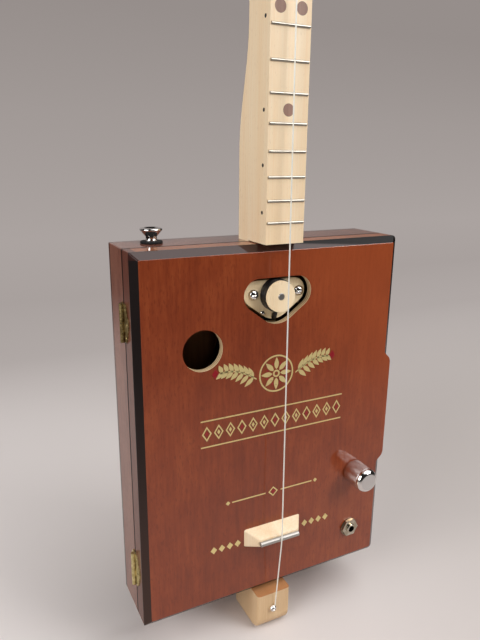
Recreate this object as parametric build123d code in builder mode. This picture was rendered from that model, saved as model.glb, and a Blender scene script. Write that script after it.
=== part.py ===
from build123d import *
import os
from math import cos, pi, sin, sqrt, tan

# One-string cigar box guitar, upright: +Z runs up the neck, the lid faces -Y, and the
# origin is the middle of the tail block's flat foot. Depths are measured back from the lid's face.

# Scale and string
scale_length = 863.6
string_diameter = 1.2
string_height = 17.6         # string's centre in front of the lid's face, at the bridge
nut_string_height = 2.8      # string's centre in front of the neck's face, at the nut
string_offset = 0.4          # string's place on the bridge, right of the middle
fret_count = 19

# Box
box_width = 251.0
box_height = 333.0
lid_depth = 23.0
tray_depth = 39.0
wall = 6.0
lid_panel_thick = 6.0
back_panel_thick = 4.0
bevel_inset = 6.0
bevel_depth = 5.0
ridge_round = 0.7            # where the face turns into the bevel
soft_corner = 4.0
sharp_corner = 0.8
seam_gap = 0.4
lip_low = 101.0              # finger lip on the lid's right edge, above the box's bottom
lip_length = 126.0
lip_reach = 1.2
lip_taper = 16.0
lip_root = 1.5               # into the face

# Neck, beam and tail
neck_width = 35.0
neck_thick = 35.0
neck_proud = 7.5
heel_depth = 50.0
heel_length = 72.0
heel_sweep = 100.0
neck_edge = 2.5
beam_width = 25.0
beam_thick = 12.0
beam_front = 25.0
tenon = 18.0
tail_height = 42.0
tail_proud = 7.5
tail_depth = 49.5
tail_nose = 13.5
tail_edge = 3.0
anchor_drop = 18.2           # string's anchor screw below the box's bottom
anchor_radius = 1.5
anchor_length = 18.0
anchor_head_radius = 3.2
anchor_head_thick = 2.1
anchor_slot_depth = 1.4
string_gap = 2.4             # wood to screw head, where the string's loop lies
lid_clear = 0.8              # lid's top edge to the neck's foot
tail_clear = 1.8             # lid's bottom edge to the tail's top
joint_clear = 0.05

# Frets, nut and dots
fret_crown = 2.4
fret_height = 1.1
tang_width = 0.6
tang_depth = 2.0
fret_inset = 1.0             # fret's end short of the neck's side
nut_thick = 5.0
nut_seat = 3.0
nut_lean = 1.2               # front edge set back over the nut's height
nut_slot_floor = 0.5
nut_slot_open = 2.0
face_dot_radius = 4.75
twin_dot_offset = 9.2
side_dot_radius = 1.5
twin_side_offset = 6.0
side_dot_depth = 7.1         # behind the neck's face
dot_depth = 1.5
dot_share = 0.46             # up the space from its lower fret
face_dot_frets = (3, 5, 7, 9, 15)
side_dot_frets = (3, 5, 7, 9, 15, 17, 19)

# Headstock and tuner
head_drop = 12.5             # headstock's face behind the neck's face
head_thick = 15.0
head_length = 116.0
head_slope = 24.0
head_corner = 11.0
post_height = 68.0           # tuner post above the nut
post_radius = 3.0
post_reach = 13.0
post_round = 0.8
post_hole_clear = 0.2
turns_reach = 9.0            # string's first turn in front of the headstock
turn_count = 2.25
splice_gap = 0.06
bushing_radius = 4.2
bushing_flange = 5.6
bushing_flange_thick = 1.2
gear_teeth = 14
gear_module = 0.7
gear_thick = 3.0
gear_gap = 2.2
gear_hub_radius = 3.9
gear_hub_clear = 0.1
gear_dedendum = 0.9          # in modules
gear_addendum = 0.75
root_share = 0.17            # half a tooth, in shares of the pitch
tip_share = 0.09
worm_root = 2.1
worm_tip = 3.2
worm_turns = 3
worm_sunk = 0.3
worm_end_clear = 0.6
thread_share = 0.18
shaft_radius = 1.5
shaft_end = 0.8
plate_thick = 1.0
plate_corner = 2.0
plate_end = 2.8              # beyond the screws
ear_gap = 11.6
ear_thick = 1.2
ear_half = 3.6
key_gap = 3.0
key_length = 17.0
key_width = 15.0
key_thick = 7.0
key_round = 2.6
key_blade_gap = 1.5
key_collar_radius = 3.0
key_collar_length = 6.0
key_socket = 5.0
bearing_clear = 0.05
tuner_screw_radius = 1.0
tuner_screw_length = 8.0
tuner_screw_drop = 9.4
tuner_screw_rise = 5.6
tuner_screw_head = 2.0
tuner_screw_crown = 1.4
tuner_screw_dome = 0.9

# Bridge
bridge_drop = 270.5          # rod's centre below the box's top
bridge_base_width = 59.0
bridge_base_height = 18.0
bridge_top_width = 41.0
bridge_top_height = 7.5
bridge_proud = 14.0
bridge_rod_radius = 2.4
bridge_rod_length = 40.0
bridge_rod_from_base = 9.0   # rod's centre above the block's lower edge
bridge_rod_from_top = 3.0    # the same at the block's front
bridge_edge = 1.5
rod_chamfer = 0.4

# Holes and pickup
sound_hole_inset = 56.7      # from the box's left side
sound_hole_drop = 83.0       # from the box's top
sound_hole_radius = 17.6
pick_half_base = 60.6
pick_drop = 45.4
pick_corner = 14.1
pick_tip = 21.0
pick_top_drop = 27.8         # from the box's top
pickup_gap = 3.0
plate_front = 6.5
pickup_plate_thick = 4.0
coil_drop = 43.5
coil_radius = 14.4
disc_radius = 13.3
disc_thick = 2.5
disc_proud = 5.0
pole_radius = 3.0
pole_proud = 0.6
pole_chamfer = 0.5
magnet_radius = 9.0
magnet_thick = 3.0
riser_width = 54.0
riser_height = 22.0
pickup_screw_x = 22.0
pickup_screw_shift = 1.8     # both screws right of the coil's axis
pickup_screw_lift = 0.9
pickup_screw_head = 4.8
pickup_screw_shank = 1.75
pickup_screw_dome = 3.0
pickup_screw_clear = 3.0     # screw's end short of the beam
lead_screw_edge = 1.5        # from the plate's sloping edge
lead_screw_drop = 15.8
lead_screw_radius = 0.9
lead_screw_head = 2.2
lead_screw_dome = 1.2
slot_width = 0.8
lead_diameter = 3.4
lead_notch = 5.0

# Controls
control_inset = 35.0         # from the box's right side
knob_rise = 103.0
knob_radius = 11.7
knob_height = 24.5
knob_gap = 0.8
knob_round = 5.5
knob_foot_round = 0.4
knob_hollow_radius = 7.4
knob_face_thick = 8.0
knob_hollow_clear = 0.6
set_screw_radius = 1.45
set_screw_rise = 6.0
set_screw_sunk = 1.0
pot_radius = 12.0
pot_thick = 9.0
pot_shaft_radius = 3.0
pot_bushing_radius = 4.0
pot_thread_end = 0.2
pot_floor = 2.0
pot_washer_radius = 6.0
pot_nut_across = 10.0
lug_pitch = 5.0
lug_half = 1.0
lug_thick = 0.8
lug_length = 5.0
lug_root = 2.0
lug_set_back = 2.0
jack_inset = 35.5
jack_rise = 39.0
jack_bore_radius = 3.25
jack_thread_radius = 4.75
jack_proud = 5.0
jack_frame_depth = 16.0
jack_flange_radius = 8.0
jack_flange_thick = 2.0
jack_washer_radius = 9.6
jack_nut_across = 16.2
jack_chamfer = 0.3
spring_gap = 1.5
spring_thick = 0.8
spring_half = 2.5
spring_step = 6.0            # one contact is this much shorter
panel_hole_clear = 0.15
nut_height = 2.2
washer_thick = 0.8

# Hinges
hinge_height = 32.0
upper_hinge_drop = 58.0      # from the box's top to the hinge's middle
lower_hinge_rise = 48.0      # from the box's bottom
knuckle_count = 4
knuckle_radius = 2.0
knuckle_gap = 0.2
knuckle_clear = 0.1          # barrel to the box's side
hinge_pin_radius = 0.75
leaf_thick = 0.9
leaf_reach = 13.0            # from the pin's axis, at the middle lobe
leaf_end_reach = 4.6
leaf_cusp_reach = 9.6        # where the middle lobe meets the outer ones
leaf_cusp_share = 0.2        # of the hinge's height, each side of its middle
leaf_bulge = 1.3             # outer lobes beyond their chords
leaf_clear = 0.7
nail_radius = 0.6
nail_head = 1.1
nail_head_thick = 0.5
nail_length = 4.5
nail_places = (-0.36, 0, 0.36)    # along a hinge, in shares of its height
nail_shares = (0.3, 0.6, 0.3)      # across a leaf

# Strap buttons
button_inset = 30.5          # from the box's left side
button_depth = 43.5
button_flange = 9.0
button_waist = 4.4
button_height = 10.6
button_foot_flare = 1.0
button_foot_thick = 0.8
button_waist_low = 1.8
button_waist_high = 3.4
button_rim_low = 2.4         # below the top
button_rim_middle = 1.3
button_rim_high = 0.4
button_dish = 1.6
button_recess = 2.4
felt_radius = 9.2
felt_thick = 2.0
button_screw_radius = 1.8
button_screw_length = 16.0
button_screw_flare = 2.0
button_screw_head = 1.6

# Places that follow from the sizes above
tail_back = tail_depth - tail_proud
face_y = -((tail_nose - tail_proud) + (tail_back - tail_edge)) / 2
box_bottom = tail_height
box_top = box_bottom + box_height
half_box = box_width / 2
half_neck = neck_width / 2
half_fret = half_neck - fret_inset
box_depth = lid_depth + tray_depth
lid_back = lid_depth - seam_gap / 2
tray_front = lid_depth + seam_gap / 2
back_panel_front = box_depth - back_panel_thick
neck_back = neck_thick - neck_proud
heel_back = heel_depth - neck_proud
bridge_z = box_top - bridge_drop
nut_z = bridge_z + scale_length
string_radius = string_diameter / 2
rod_depth = -(string_height - string_radius - bridge_rod_radius)
nut_string_depth = -(neck_proud + nut_string_height)
head_front = head_drop - neck_proud
head_back = head_front + head_thick
head_top = nut_z + head_length
sound_hole_x = -half_box + sound_hole_inset
sound_hole_z = box_top - sound_hole_drop
pickup_top_z = box_top - pick_top_drop
coil_z = box_top - coil_drop
control_x = half_box - control_inset
knob_z = box_bottom + knob_rise
jack_x = half_box - jack_inset
jack_z = box_bottom + jack_rise
button_x = -half_box + button_inset
hinge_centres = (box_top - upper_hinge_drop, box_bottom + lower_hinge_rise)
plate_back = plate_front + pickup_plate_thick
post_z = nut_z + post_height
post_x = -(post_radius + string_radius + joint_clear)
tail_button_z = (tail_height - tenon) / 2
gear_pitch = gear_module * gear_teeth / 2
worm_z = post_z + gear_pitch + (worm_root + worm_tip) / 2
tuner_screw_places = (post_z - tuner_screw_drop, worm_z + tuner_screw_rise)


def at(depth):
    """Y of a point this far behind the lid's face."""
    return face_y + depth


def front_plane(depth):
    """A plane at this depth, seen from the front: its normal is -Y."""
    return Plane.XZ.offset(-at(depth))


def block(x0, x1, depth0, depth1, z0, z1, mode=Mode.ADD):
    """A box between these limits, added to or cut from the part in hand."""
    with Locations((x0, at(depth0), z0)):
        return Box(x1 - x0, depth1 - depth0, z1 - z0,
                   align=(Align.MIN, Align.MIN, Align.MIN), mode=mode)


def pin_y(x, z, radius, depth0, depth1, mode=Mode.ADD):
    """A round bar along Y between two depths."""
    with BuildSketch(front_plane(depth0)) as section:
        with Locations((x, z)):
            Circle(radius)
    extrude(section.sketch, amount=-(depth1 - depth0), mode=mode)


def pin_z(x, depth, radius, z0, z1, mode=Mode.ADD):
    """A round bar along Z between two heights."""
    with BuildSketch(Plane.XY.offset(z0)) as section:
        with Locations((x, at(depth))):
            Circle(radius)
    extrude(section.sketch, amount=z1 - z0, mode=mode)


def dome(x, z, depth, radius, height):
    """A domed head that stands this far in front of a depth."""
    with BuildSketch(Plane(origin=(x, at(depth), z), x_dir=(1, 0, 0), z_dir=(0, 0, 1))) as profile:
        with BuildLine():
            Polyline((0, -height), (0, 0), (radius, 0))
            TangentArc((0, -height), (radius, 0), tangent=(1, 0))
        make_face()
    revolve(profile.sketch, axis=Axis((x, at(depth), z), (0, 1, 0)))


def cross_slot(x, z, depth, reach, width, deep):
    """A cross recess cut back from this depth."""
    with BuildSketch(front_plane(depth)) as cross:
        with Locations((x, z)):
            Rectangle(2 * reach, width)
            Rectangle(width, 2 * reach)
    extrude(cross.sketch, amount=-deep, mode=Mode.SUBTRACT)


def fret_z(number):
    return bridge_z + scale_length * 2 ** (-number / 12)


def box_outline(inset=0.0):
    """The box's outline: soft corners on the right, sharp ones on the hinge side."""
    with BuildSketch() as outline:
        with Locations((0, (box_bottom + box_top) / 2)):
            Rectangle(box_width - 2 * inset, box_height - 2 * inset)
        fillet(outline.vertices().group_by(Axis.X)[-1], soft_corner - inset / 3)
        fillet(outline.vertices().group_by(Axis.X)[0], sharp_corner)
    return outline.sketch


def pick_outline(inset=0.0):
    """The pickup hole: a flat top, two round shoulders and a blunt tip."""
    with BuildSketch() as outline:
        with BuildLine():
            Polyline((-pick_half_base, pickup_top_z), (pick_half_base, pickup_top_z),
                     (0, pickup_top_z - pick_drop), close=True)
        make_face()
        fillet(outline.vertices().group_by(Axis.Y)[-1], pick_corner)
        fillet(outline.vertices().group_by(Axis.Y)[0], pick_tip)
        if inset:
            offset(amount=-inset, mode=Mode.REPLACE)
    return outline.sketch


def turn_angle(before, here, after):
    return (here - before).get_angle(after - here)


def cord_path(points):
    """Straight runs joined by arcs as large as the runs allow."""
    spots = [Vector(*p) for p in points]
    radii = []
    for before, here, after in zip(spots, spots[1:], spots[2:]):
        half_turn = turn_angle(before, here, after) / 2 * pi / 180
        shorter = min((here - before).length, (after - here).length)
        radii.append(0.45 * shorter / tan(half_turn))
    print("cord radii", [round(r, 1) for r in radii])
    return FilletPolyline(*spots, radius=radii)


def tube_along(line, radius):
    with BuildSketch(Plane(origin=line @ 0, z_dir=line % 0)) as section:
        Circle(radius)
    sweep(section.sketch, path=line)


def finish(builder, name):
    builder.part.label = name
    export_step(builder.part, f"parts/{name}.step")


os.makedirs("parts", exist_ok=True)

# The lid: a bevelled panel with its holes and finger lip, and four rims
pot_hole_radius = pot_bushing_radius + panel_hole_clear
jack_hole_radius = jack_thread_radius + panel_hole_clear
with BuildPart() as lid_panel:
    with BuildSketch(front_plane(lid_panel_thick)):
        add(box_outline())
    extrude(amount=lid_panel_thick - bevel_depth)
    with BuildSketch(front_plane(bevel_depth)):
        add(box_outline())
    with BuildSketch(front_plane(0)):
        add(box_outline(bevel_inset))
    loft()
    fillet(lid_panel.edges().group_by(Axis.Y)[0], ridge_round)
    with BuildSketch(front_plane(0)):
        with BuildLine():
            lip_inner, lip_outer = half_box - bevel_inset - lip_root, half_box + lip_reach
            lip_foot, lip_head = box_bottom + lip_low, box_bottom + lip_low + lip_length
            Spline((lip_inner, lip_foot), (lip_outer, lip_foot + lip_taper), tangents=[(0, 1), (0, 1)])
            Line((lip_outer, lip_foot + lip_taper), (lip_outer, lip_head - lip_taper))
            Spline((lip_outer, lip_head - lip_taper), (lip_inner, lip_head), tangents=[(0, 1), (0, 1)])
            Line((lip_inner, lip_head), (lip_inner, lip_foot))
        make_face()
    extrude(amount=-lid_panel_thick)
    with BuildSketch(front_plane(0)):
        add(pick_outline())
        with Locations((sound_hole_x, sound_hole_z)):
            Circle(sound_hole_radius)
        with Locations((control_x, knob_z)):
            Circle(pot_hole_radius)
        with Locations((jack_x, jack_z)):
            Circle(jack_hole_radius)
    extrude(amount=-lid_panel_thick, mode=Mode.SUBTRACT)
finish(lid_panel, "lid_panel")


def hinge_nails(name, sign):
    """The small domed nails of both hinges, on one side of the seam."""
    across = leaf_reach - knuckle_radius - leaf_clear
    with BuildPart() as nails:
        for centre in hinge_centres:
            for place, share in zip(nail_places, nail_shares):
                depth = lid_depth + sign * (knuckle_radius + leaf_clear + share * across)
                spot = (-half_box - leaf_thick, at(depth), centre + place * hinge_height)
                with Locations(Location(spot, (0, 90, 0))):
                    Cylinder(nail_radius, nail_length, align=(Align.CENTER, Align.CENTER, Align.MIN))
                    Cone(nail_head * 0.6, nail_head, nail_head_thick,
                         align=(Align.CENTER, Align.CENTER, Align.MAX))
    finish(nails, name)
    return nails.part


tray_nails = hinge_nails("tray_hinge_nails", 1)
lid_nails = hinge_nails("lid_hinge_nails", -1)


def side_wall(name, side, depth0, depth1, nails=None):
    """A left or right wall, full height, with its outer corners rounded."""
    outer = side * half_box
    inner = outer - side * wall
    with BuildPart() as side_piece:
        block(min(outer, inner), max(outer, inner), depth0, depth1, box_bottom, box_top)
        edges_out = side_piece.edges().filter_by(Axis.Y).group_by(Axis.X)[-1 if side > 0 else 0]
        fillet(edges_out, soft_corner if side > 0 else sharp_corner)
        if nails:
            add(nails, mode=Mode.SUBTRACT)
    finish(side_piece, name)


def end_wall(name, top, depth0, depth1, notched):
    """A top or bottom wall between the side walls, open for the beam where it is the tray's."""
    z0 = box_top - wall if top else box_bottom
    with BuildPart() as end_piece:
        block(-half_box + wall, half_box - wall, depth0, depth1, z0, z0 + wall)
        if notched:
            half_notch = beam_width / 2 + joint_clear
            block(-half_notch, half_notch, depth0, beam_front + beam_thick + joint_clear,
                  z0, z0 + wall, mode=Mode.SUBTRACT)
        if notched and top:
            pin_z(button_x, button_depth, button_screw_radius, z0, z0 + wall, mode=Mode.SUBTRACT)
    finish(end_piece, name)


side_wall("lid_left_rim", -1, lid_panel_thick, lid_back, lid_nails)
side_wall("lid_right_rim", 1, lid_panel_thick, lid_back)
end_wall("lid_top_rim", True, lid_panel_thick, lid_back, False)
end_wall("lid_bottom_rim", False, lid_panel_thick, lid_back, False)

# The tray: four walls and the back panel
side_wall("tray_left_wall", -1, tray_front, back_panel_front, tray_nails)
side_wall("tray_right_wall", 1, tray_front, back_panel_front)
end_wall("tray_top_wall", True, tray_front, back_panel_front, True)
end_wall("tray_bottom_wall", False, tray_front, back_panel_front, True)
with BuildPart() as back_panel:
    with BuildSketch(front_plane(box_depth)):
        add(box_outline())
    extrude(amount=back_panel_thick)
finish(back_panel, "back_panel")

# The neck with its heel and headstock, sawn from one beam
neck_foot = box_top + lid_clear
sweep_top = box_top + heel_length + heel_sweep
sweep_low = box_top + heel_length
head_slope_top = nut_z + nut_thick + head_slope
with BuildPart() as neck:
    with BuildSketch(Plane.YZ):
        with BuildLine():
            Polyline((at(tray_front), neck_foot), (at(-neck_proud), neck_foot),
                     (at(-neck_proud), nut_z), (at(nut_seat - neck_proud), nut_z),
                     (at(nut_seat - neck_proud), nut_z + nut_thick))
            Spline((at(nut_seat - neck_proud), nut_z + nut_thick), (at(head_front), head_slope_top),
                   tangents=[(0.6, 1), (0, 1)])
            Polyline((at(head_front), head_slope_top), (at(head_front), head_top),
                     (at(head_back), head_top), (at(head_back), head_slope_top))
            Spline((at(head_back), head_slope_top), (at(neck_back), nut_z - head_slope),
                   tangents=[(0, -1), (0, -1)])
            Line((at(neck_back), nut_z - head_slope), (at(neck_back), sweep_top))
            Spline((at(neck_back), sweep_top), (at(heel_back), sweep_low),
                   tangents=[(0, -1), (0, -1)])
            Polyline((at(heel_back), sweep_low), (at(heel_back), box_top),
                     (at(tray_front), box_top), (at(tray_front), neck_foot))
        make_face()
    extrude(amount=half_neck, both=True)
    top_corners = neck.edges().filter_by(Axis.Y).group_by(Axis.Z)[-1]
    fillet(top_corners, head_corner)
    sides = neck.faces().sort_by(Axis.X)
    back_rails = [e for e in sides[0].edges() + sides[-1].edges()
                  if e.center().Y > at(neck_back) - 0.1 and abs(e.tangent_at(0.5).Z) > 0.5
                  and e.center().Z < nut_z - head_slope]
    fillet(back_rails, neck_edge)
    half_mortise = beam_width / 2 + joint_clear
    block(-half_mortise, half_mortise, beam_front - joint_clear, beam_front + beam_thick + joint_clear,
          box_top, box_top + tenon + joint_clear, mode=Mode.SUBTRACT)
    for number in range(1, fret_count + 1):
        block(-half_fret, half_fret, -neck_proud, -neck_proud + tang_depth,
              fret_z(number) - tang_width / 2, fret_z(number) + tang_width / 2, mode=Mode.SUBTRACT)
    pin_y(post_x, post_z, bushing_radius, head_front, head_back, mode=Mode.SUBTRACT)
    for z in tuner_screw_places:
        pin_y(post_x, z, tuner_screw_radius, head_back - tuner_screw_length, head_back, mode=Mode.SUBTRACT)


def between(number):
    """Place of a dot between this fret and the next one up the neck."""
    return fret_z(number) + dot_share * (fret_z(number - 1) - fret_z(number))


face_spots = [(0, between(n)) for n in face_dot_frets]
face_spots += [(-twin_dot_offset, between(12)), (twin_dot_offset, between(12))]
side_heights = [between(n) for n in side_dot_frets]
side_heights += [between(12) - twin_side_offset, between(12) + twin_side_offset]
side_spots = [(at(-neck_proud + side_dot_depth), z) for z in side_heights]
with BuildPart() as face_dots:
    with BuildSketch(front_plane(-neck_proud)):
        with Locations(*face_spots):
            Circle(face_dot_radius)
    extrude(amount=-dot_depth)
with BuildPart() as side_dots:
    with BuildSketch(Plane.YZ.offset(-half_neck)):
        with Locations(*side_spots):
            Circle(side_dot_radius)
    extrude(amount=dot_depth)
with neck:
    add(face_dots.part, mode=Mode.SUBTRACT)
    add(side_dots.part, mode=Mode.SUBTRACT)
finish(neck, "neck")
finish(face_dots, "face_dots")
finish(side_dots, "side_dots")

with BuildPart() as frets:
    with BuildSketch(Plane.YZ):
        with Locations(*[(at(-neck_proud), fret_z(n)) for n in range(1, fret_count + 1)]):
            with BuildSketch(mode=Mode.PRIVATE) as fret_section:
                with BuildLine():
                    ThreePointArc((0, -fret_crown / 2), (-fret_height, 0), (0, fret_crown / 2))
                    Line((0, fret_crown / 2), (0, -fret_crown / 2))
                make_face()
                with Locations((tang_depth / 2, 0)):
                    Rectangle(tang_depth, tang_width)
            add(fret_section.sketch)
    extrude(amount=half_fret, both=True)
finish(frets, "frets")

with BuildPart() as nut:
    with BuildSketch(Plane.YZ):
        with BuildLine():
            back, front = at(nut_seat - neck_proud), at(nut_string_depth) - string_radius / 2
            Polyline((back, nut_z), (front, nut_z), (front + nut_lean, nut_z + nut_thick),
                     (back, nut_z + nut_thick), close=True)
        make_face()
    extrude(amount=half_neck, both=True)
    slot_half = string_radius + joint_clear
    slot_floor = nut_string_depth + slot_half + nut_slot_floor
    block(-slot_half, slot_half, nut_string_depth - nut_slot_open, slot_floor,
          nut_z, nut_z + nut_thick, mode=Mode.SUBTRACT)
finish(nut, "nut")

# The beam through the box, and the tail block below it
with BuildPart() as through_beam:
    block(-beam_width / 2, beam_width / 2, beam_front, beam_front + beam_thick,
          box_bottom - tenon, box_top + tenon)
finish(through_beam, "through_beam")

tail_top = box_bottom - tail_clear
anchor_z = box_bottom - anchor_drop
loop_radius = anchor_radius + string_radius + joint_clear
anchor_x = string_offset - loop_radius
with BuildPart() as tail_block:
    with BuildSketch(Plane.YZ):
        with BuildLine():
            Polyline((at(-tail_proud), tail_top), (at(tray_front), tail_top), (at(tray_front), box_bottom),
                     (at(tail_back), box_bottom), (at(tail_back), 0), (at(-tail_proud), 0), close=True)
        make_face()
    extrude(amount=half_neck, both=True)
    foot_edges = tail_block.edges().filter_by(Axis.X).group_by(Axis.Z)[0].sort_by(Axis.Y)
    fillet(foot_edges[0], tail_nose)
    fillet(foot_edges[-1], tail_edge)
    long_edges = [e for e in tail_block.edges().filter_by(Axis.Z).group_by(Axis.Y)[0]
                  if abs(abs(e.center().X) - half_neck) < 0.01]
    fillet(long_edges, tail_edge)
    block(-half_mortise, half_mortise, beam_front - joint_clear, beam_front + beam_thick + joint_clear,
          box_bottom - tenon - joint_clear, box_bottom, mode=Mode.SUBTRACT)
    pin_y(anchor_x, anchor_z, anchor_radius, -tail_proud, anchor_length - tail_proud, mode=Mode.SUBTRACT)
    pin_y(0, tail_button_z, button_screw_radius, tail_back - button_screw_length, tail_back,
          mode=Mode.SUBTRACT)
finish(tail_block, "tail_block")

anchor_front = -tail_proud - string_gap
with BuildPart() as anchor_screw:
    pin_y(anchor_x, anchor_z, anchor_radius, anchor_front, anchor_length - tail_proud)
    dome(anchor_x, anchor_z, anchor_front, anchor_head_radius, anchor_head_thick)
    cross_slot(anchor_x, anchor_z, anchor_front - anchor_head_thick, anchor_head_radius / 2, slot_width,
               anchor_slot_depth)
finish(anchor_screw, "anchor_screw")

# The string: a loop round the anchor screw, up over the bridge rod to the nut
string_depth = -tail_proud - string_gap / 2
anchor_point = Vector(anchor_x, at(string_depth), anchor_z)
rod_point = Vector(string_offset, at(-string_height), bridge_z)
nut_point = Vector(0, at(nut_string_depth), nut_z + nut_thick / 2)
leaving = (rod_point - Vector(string_offset, at(string_depth), anchor_z)).normalized()
loop_plane = Plane(origin=anchor_point, x_dir=(1, 0, 0), z_dir=Vector(1, 0, 0).cross(leaving))
with BuildPart() as string:
    with BuildLine() as string_path:
        with BuildLine(loop_plane):
            loop = CenterArc((0, 0), loop_radius, -290, 290)
        FilletPolyline(loop @ 1, rod_point, nut_point, radius=bridge_rod_radius + string_radius + joint_clear)
    tube_along(string_path.wires()[0], string_radius)
finish(string, "string")

# The string's last stretch, from the nut to its turns round the tuner post
turn_radius = post_radius + string_radius + joint_clear
turn_start = Vector(0, at(head_front - turns_reach), post_z)
rise_per_turn = (turn_start.Y - nut_point.Y) / (turn_start.Z - nut_point.Z) * 2 * pi * turn_radius
print("least gap between the string's turns", round(rise_per_turn - string_diameter, 2))


def turn_point(angle):
    return Vector(post_x + turn_radius * cos(angle), turn_start.Y + rise_per_turn * angle / (2 * pi),
                  post_z + turn_radius * sin(angle))


with BuildPart() as string_turns:
    with BuildLine() as turns_path:
        run = Line(nut_point + (turn_start - nut_point).normalized() * splice_gap, turn_start)
        for quarter in range(round(turn_count * 4)):
            here, there = turn_point(quarter * pi / 2), turn_point((quarter + 1) * pi / 2)
            run = TangentArc(here, there, tangent=run % 1)
    tube_along(turns_path.wires()[0], string_radius)
finish(string_turns, "string_turns")

# The bridge: a sloped maple block with a nickel rod along its front edge
bridge_low = bridge_z - bridge_rod_from_base
with BuildPart() as bridge_block:
    with BuildSketch(front_plane(0)):
        with Locations((0, bridge_low + bridge_base_height / 2)):
            Rectangle(bridge_base_width, bridge_base_height)
    with BuildSketch(front_plane(-bridge_proud)):
        with Locations((0, bridge_z - bridge_rod_from_top + bridge_top_height / 2)):
            Rectangle(bridge_top_width, bridge_top_height)
    loft()
    fillet(bridge_block.edges().filter_by(Axis.X).group_by(Axis.Y)[0].sort_by(Axis.Z)[-1], bridge_edge)
    with Locations(Location((0, at(rod_depth), bridge_z), (0, 90, 0))):
        Cylinder(bridge_rod_radius, bridge_base_width, mode=Mode.SUBTRACT)
finish(bridge_block, "bridge_block")
with BuildPart() as bridge_rod:
    with Locations(Location((0, at(rod_depth), bridge_z), (0, 90, 0))):
        Cylinder(bridge_rod_radius, bridge_rod_length)
    chamfer(bridge_rod.edges().filter_by(GeomType.CIRCLE), rod_chamfer)
finish(bridge_rod, "bridge_rod")

# The pickup: plate and coil on a riser that stands on the beam, clear of the lid
coil_front = -disc_proud + disc_thick
riser_low = coil_z - riser_height / 2
screw_end = beam_front - pickup_screw_clear
pickup_screw_places = [(pickup_screw_shift + side * pickup_screw_x, coil_z + pickup_screw_lift)
                       for side in (-1, 1)]
with BuildPart() as pickup_riser:
    block(-riser_width / 2, riser_width / 2, plate_back, beam_front, riser_low, riser_low + riser_height)
    pin_y(0, coil_z, magnet_radius, plate_back, plate_back + magnet_thick, mode=Mode.SUBTRACT)
    for x, z in pickup_screw_places:
        pin_y(x, z, pickup_screw_shank, plate_back, screw_end, mode=Mode.SUBTRACT)
with BuildPart() as pickup_magnet:
    pin_y(0, coil_z, magnet_radius, plate_back, plate_back + magnet_thick)
lead_screw_z = coil_z - lead_screw_drop
slope_half = pick_half_base * (1 - (pickup_top_z - lead_screw_z) / pick_drop)
slope_spread = sqrt(1 + (pick_half_base / pick_drop) ** 2)    # across, for each mm from the edge
lead_screw_x = (pickup_gap + lead_screw_edge) * slope_spread - slope_half
tip_cut = pick_tip * (sqrt(1 + (pick_drop / pick_half_base) ** 2) - 1)
plate_tip = pickup_top_z - pick_drop + tip_cut + pickup_gap
with BuildPart() as pickup_plate:
    with BuildSketch(front_plane(plate_front)):
        add(pick_outline(pickup_gap))
        with Locations((0, coil_z)):
            Circle(pole_radius, mode=Mode.SUBTRACT)
        with Locations(*pickup_screw_places):
            Circle(pickup_screw_shank, mode=Mode.SUBTRACT)
        with Locations((lead_screw_x, lead_screw_z)):
            Circle(lead_screw_radius, mode=Mode.SUBTRACT)
        with Locations((0, plate_tip)):
            Rectangle(lead_notch, 2 * lead_notch, mode=Mode.SUBTRACT)
    extrude(amount=-pickup_plate_thick)
with BuildPart() as pickup_coil:
    pin_y(0, coil_z, coil_radius, coil_front, plate_front)
    pin_y(0, coil_z, pole_radius, coil_front, plate_front, mode=Mode.SUBTRACT)
with BuildPart() as pickup_disc:
    pin_y(0, coil_z, disc_radius, -disc_proud, coil_front)
    pin_y(0, coil_z, pole_radius, -disc_proud, coil_front, mode=Mode.SUBTRACT)
with BuildPart() as pickup_pole:
    pin_y(0, coil_z, pole_radius, -disc_proud - pole_proud, plate_back)
    chamfer(pickup_pole.edges().filter_by(GeomType.CIRCLE).sort_by(Axis.Y)[0], pole_chamfer)
with BuildPart() as pickup_screws:
    for x, z in pickup_screw_places:
        pin_y(x, z, pickup_screw_shank, plate_front, screw_end)
        dome(x, z, plate_front, pickup_screw_head, pickup_screw_dome)
        cross_slot(x, z, plate_front - pickup_screw_dome, pickup_screw_head / 2, slot_width,
                   pickup_screw_dome / 2)
with BuildPart() as pickup_lead_screw:
    pin_y(lead_screw_x, lead_screw_z, lead_screw_radius, plate_front, plate_back)
    dome(lead_screw_x, lead_screw_z, plate_front, lead_screw_head, lead_screw_dome)
finish(pickup_riser, "pickup_riser")
finish(pickup_magnet, "pickup_magnet")
finish(pickup_plate, "pickup_plate")
finish(pickup_coil, "pickup_coil")
finish(pickup_disc, "pickup_disc")
finish(pickup_pole, "pickup_pole")
finish(pickup_screws, "pickup_screws")
finish(pickup_lead_screw, "pickup_lead_screw")


def hexagon_nut(x, z, bore, across, depth0, depth1):
    """A chamfered nut on an axis along Y."""
    with BuildSketch(front_plane(depth0)) as section:
        with Locations((x, z)):
            RegularPolygon(across / 2, 6, major_radius=False)
            Circle(bore, mode=Mode.SUBTRACT)
    extrude(section.sketch, amount=-(depth1 - depth0))


def washer_y(x, z, bore, radius, depth0, depth1):
    pin_y(x, z, radius, depth0, depth1)
    pin_y(x, z, bore, depth0, depth1, mode=Mode.SUBTRACT)


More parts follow.
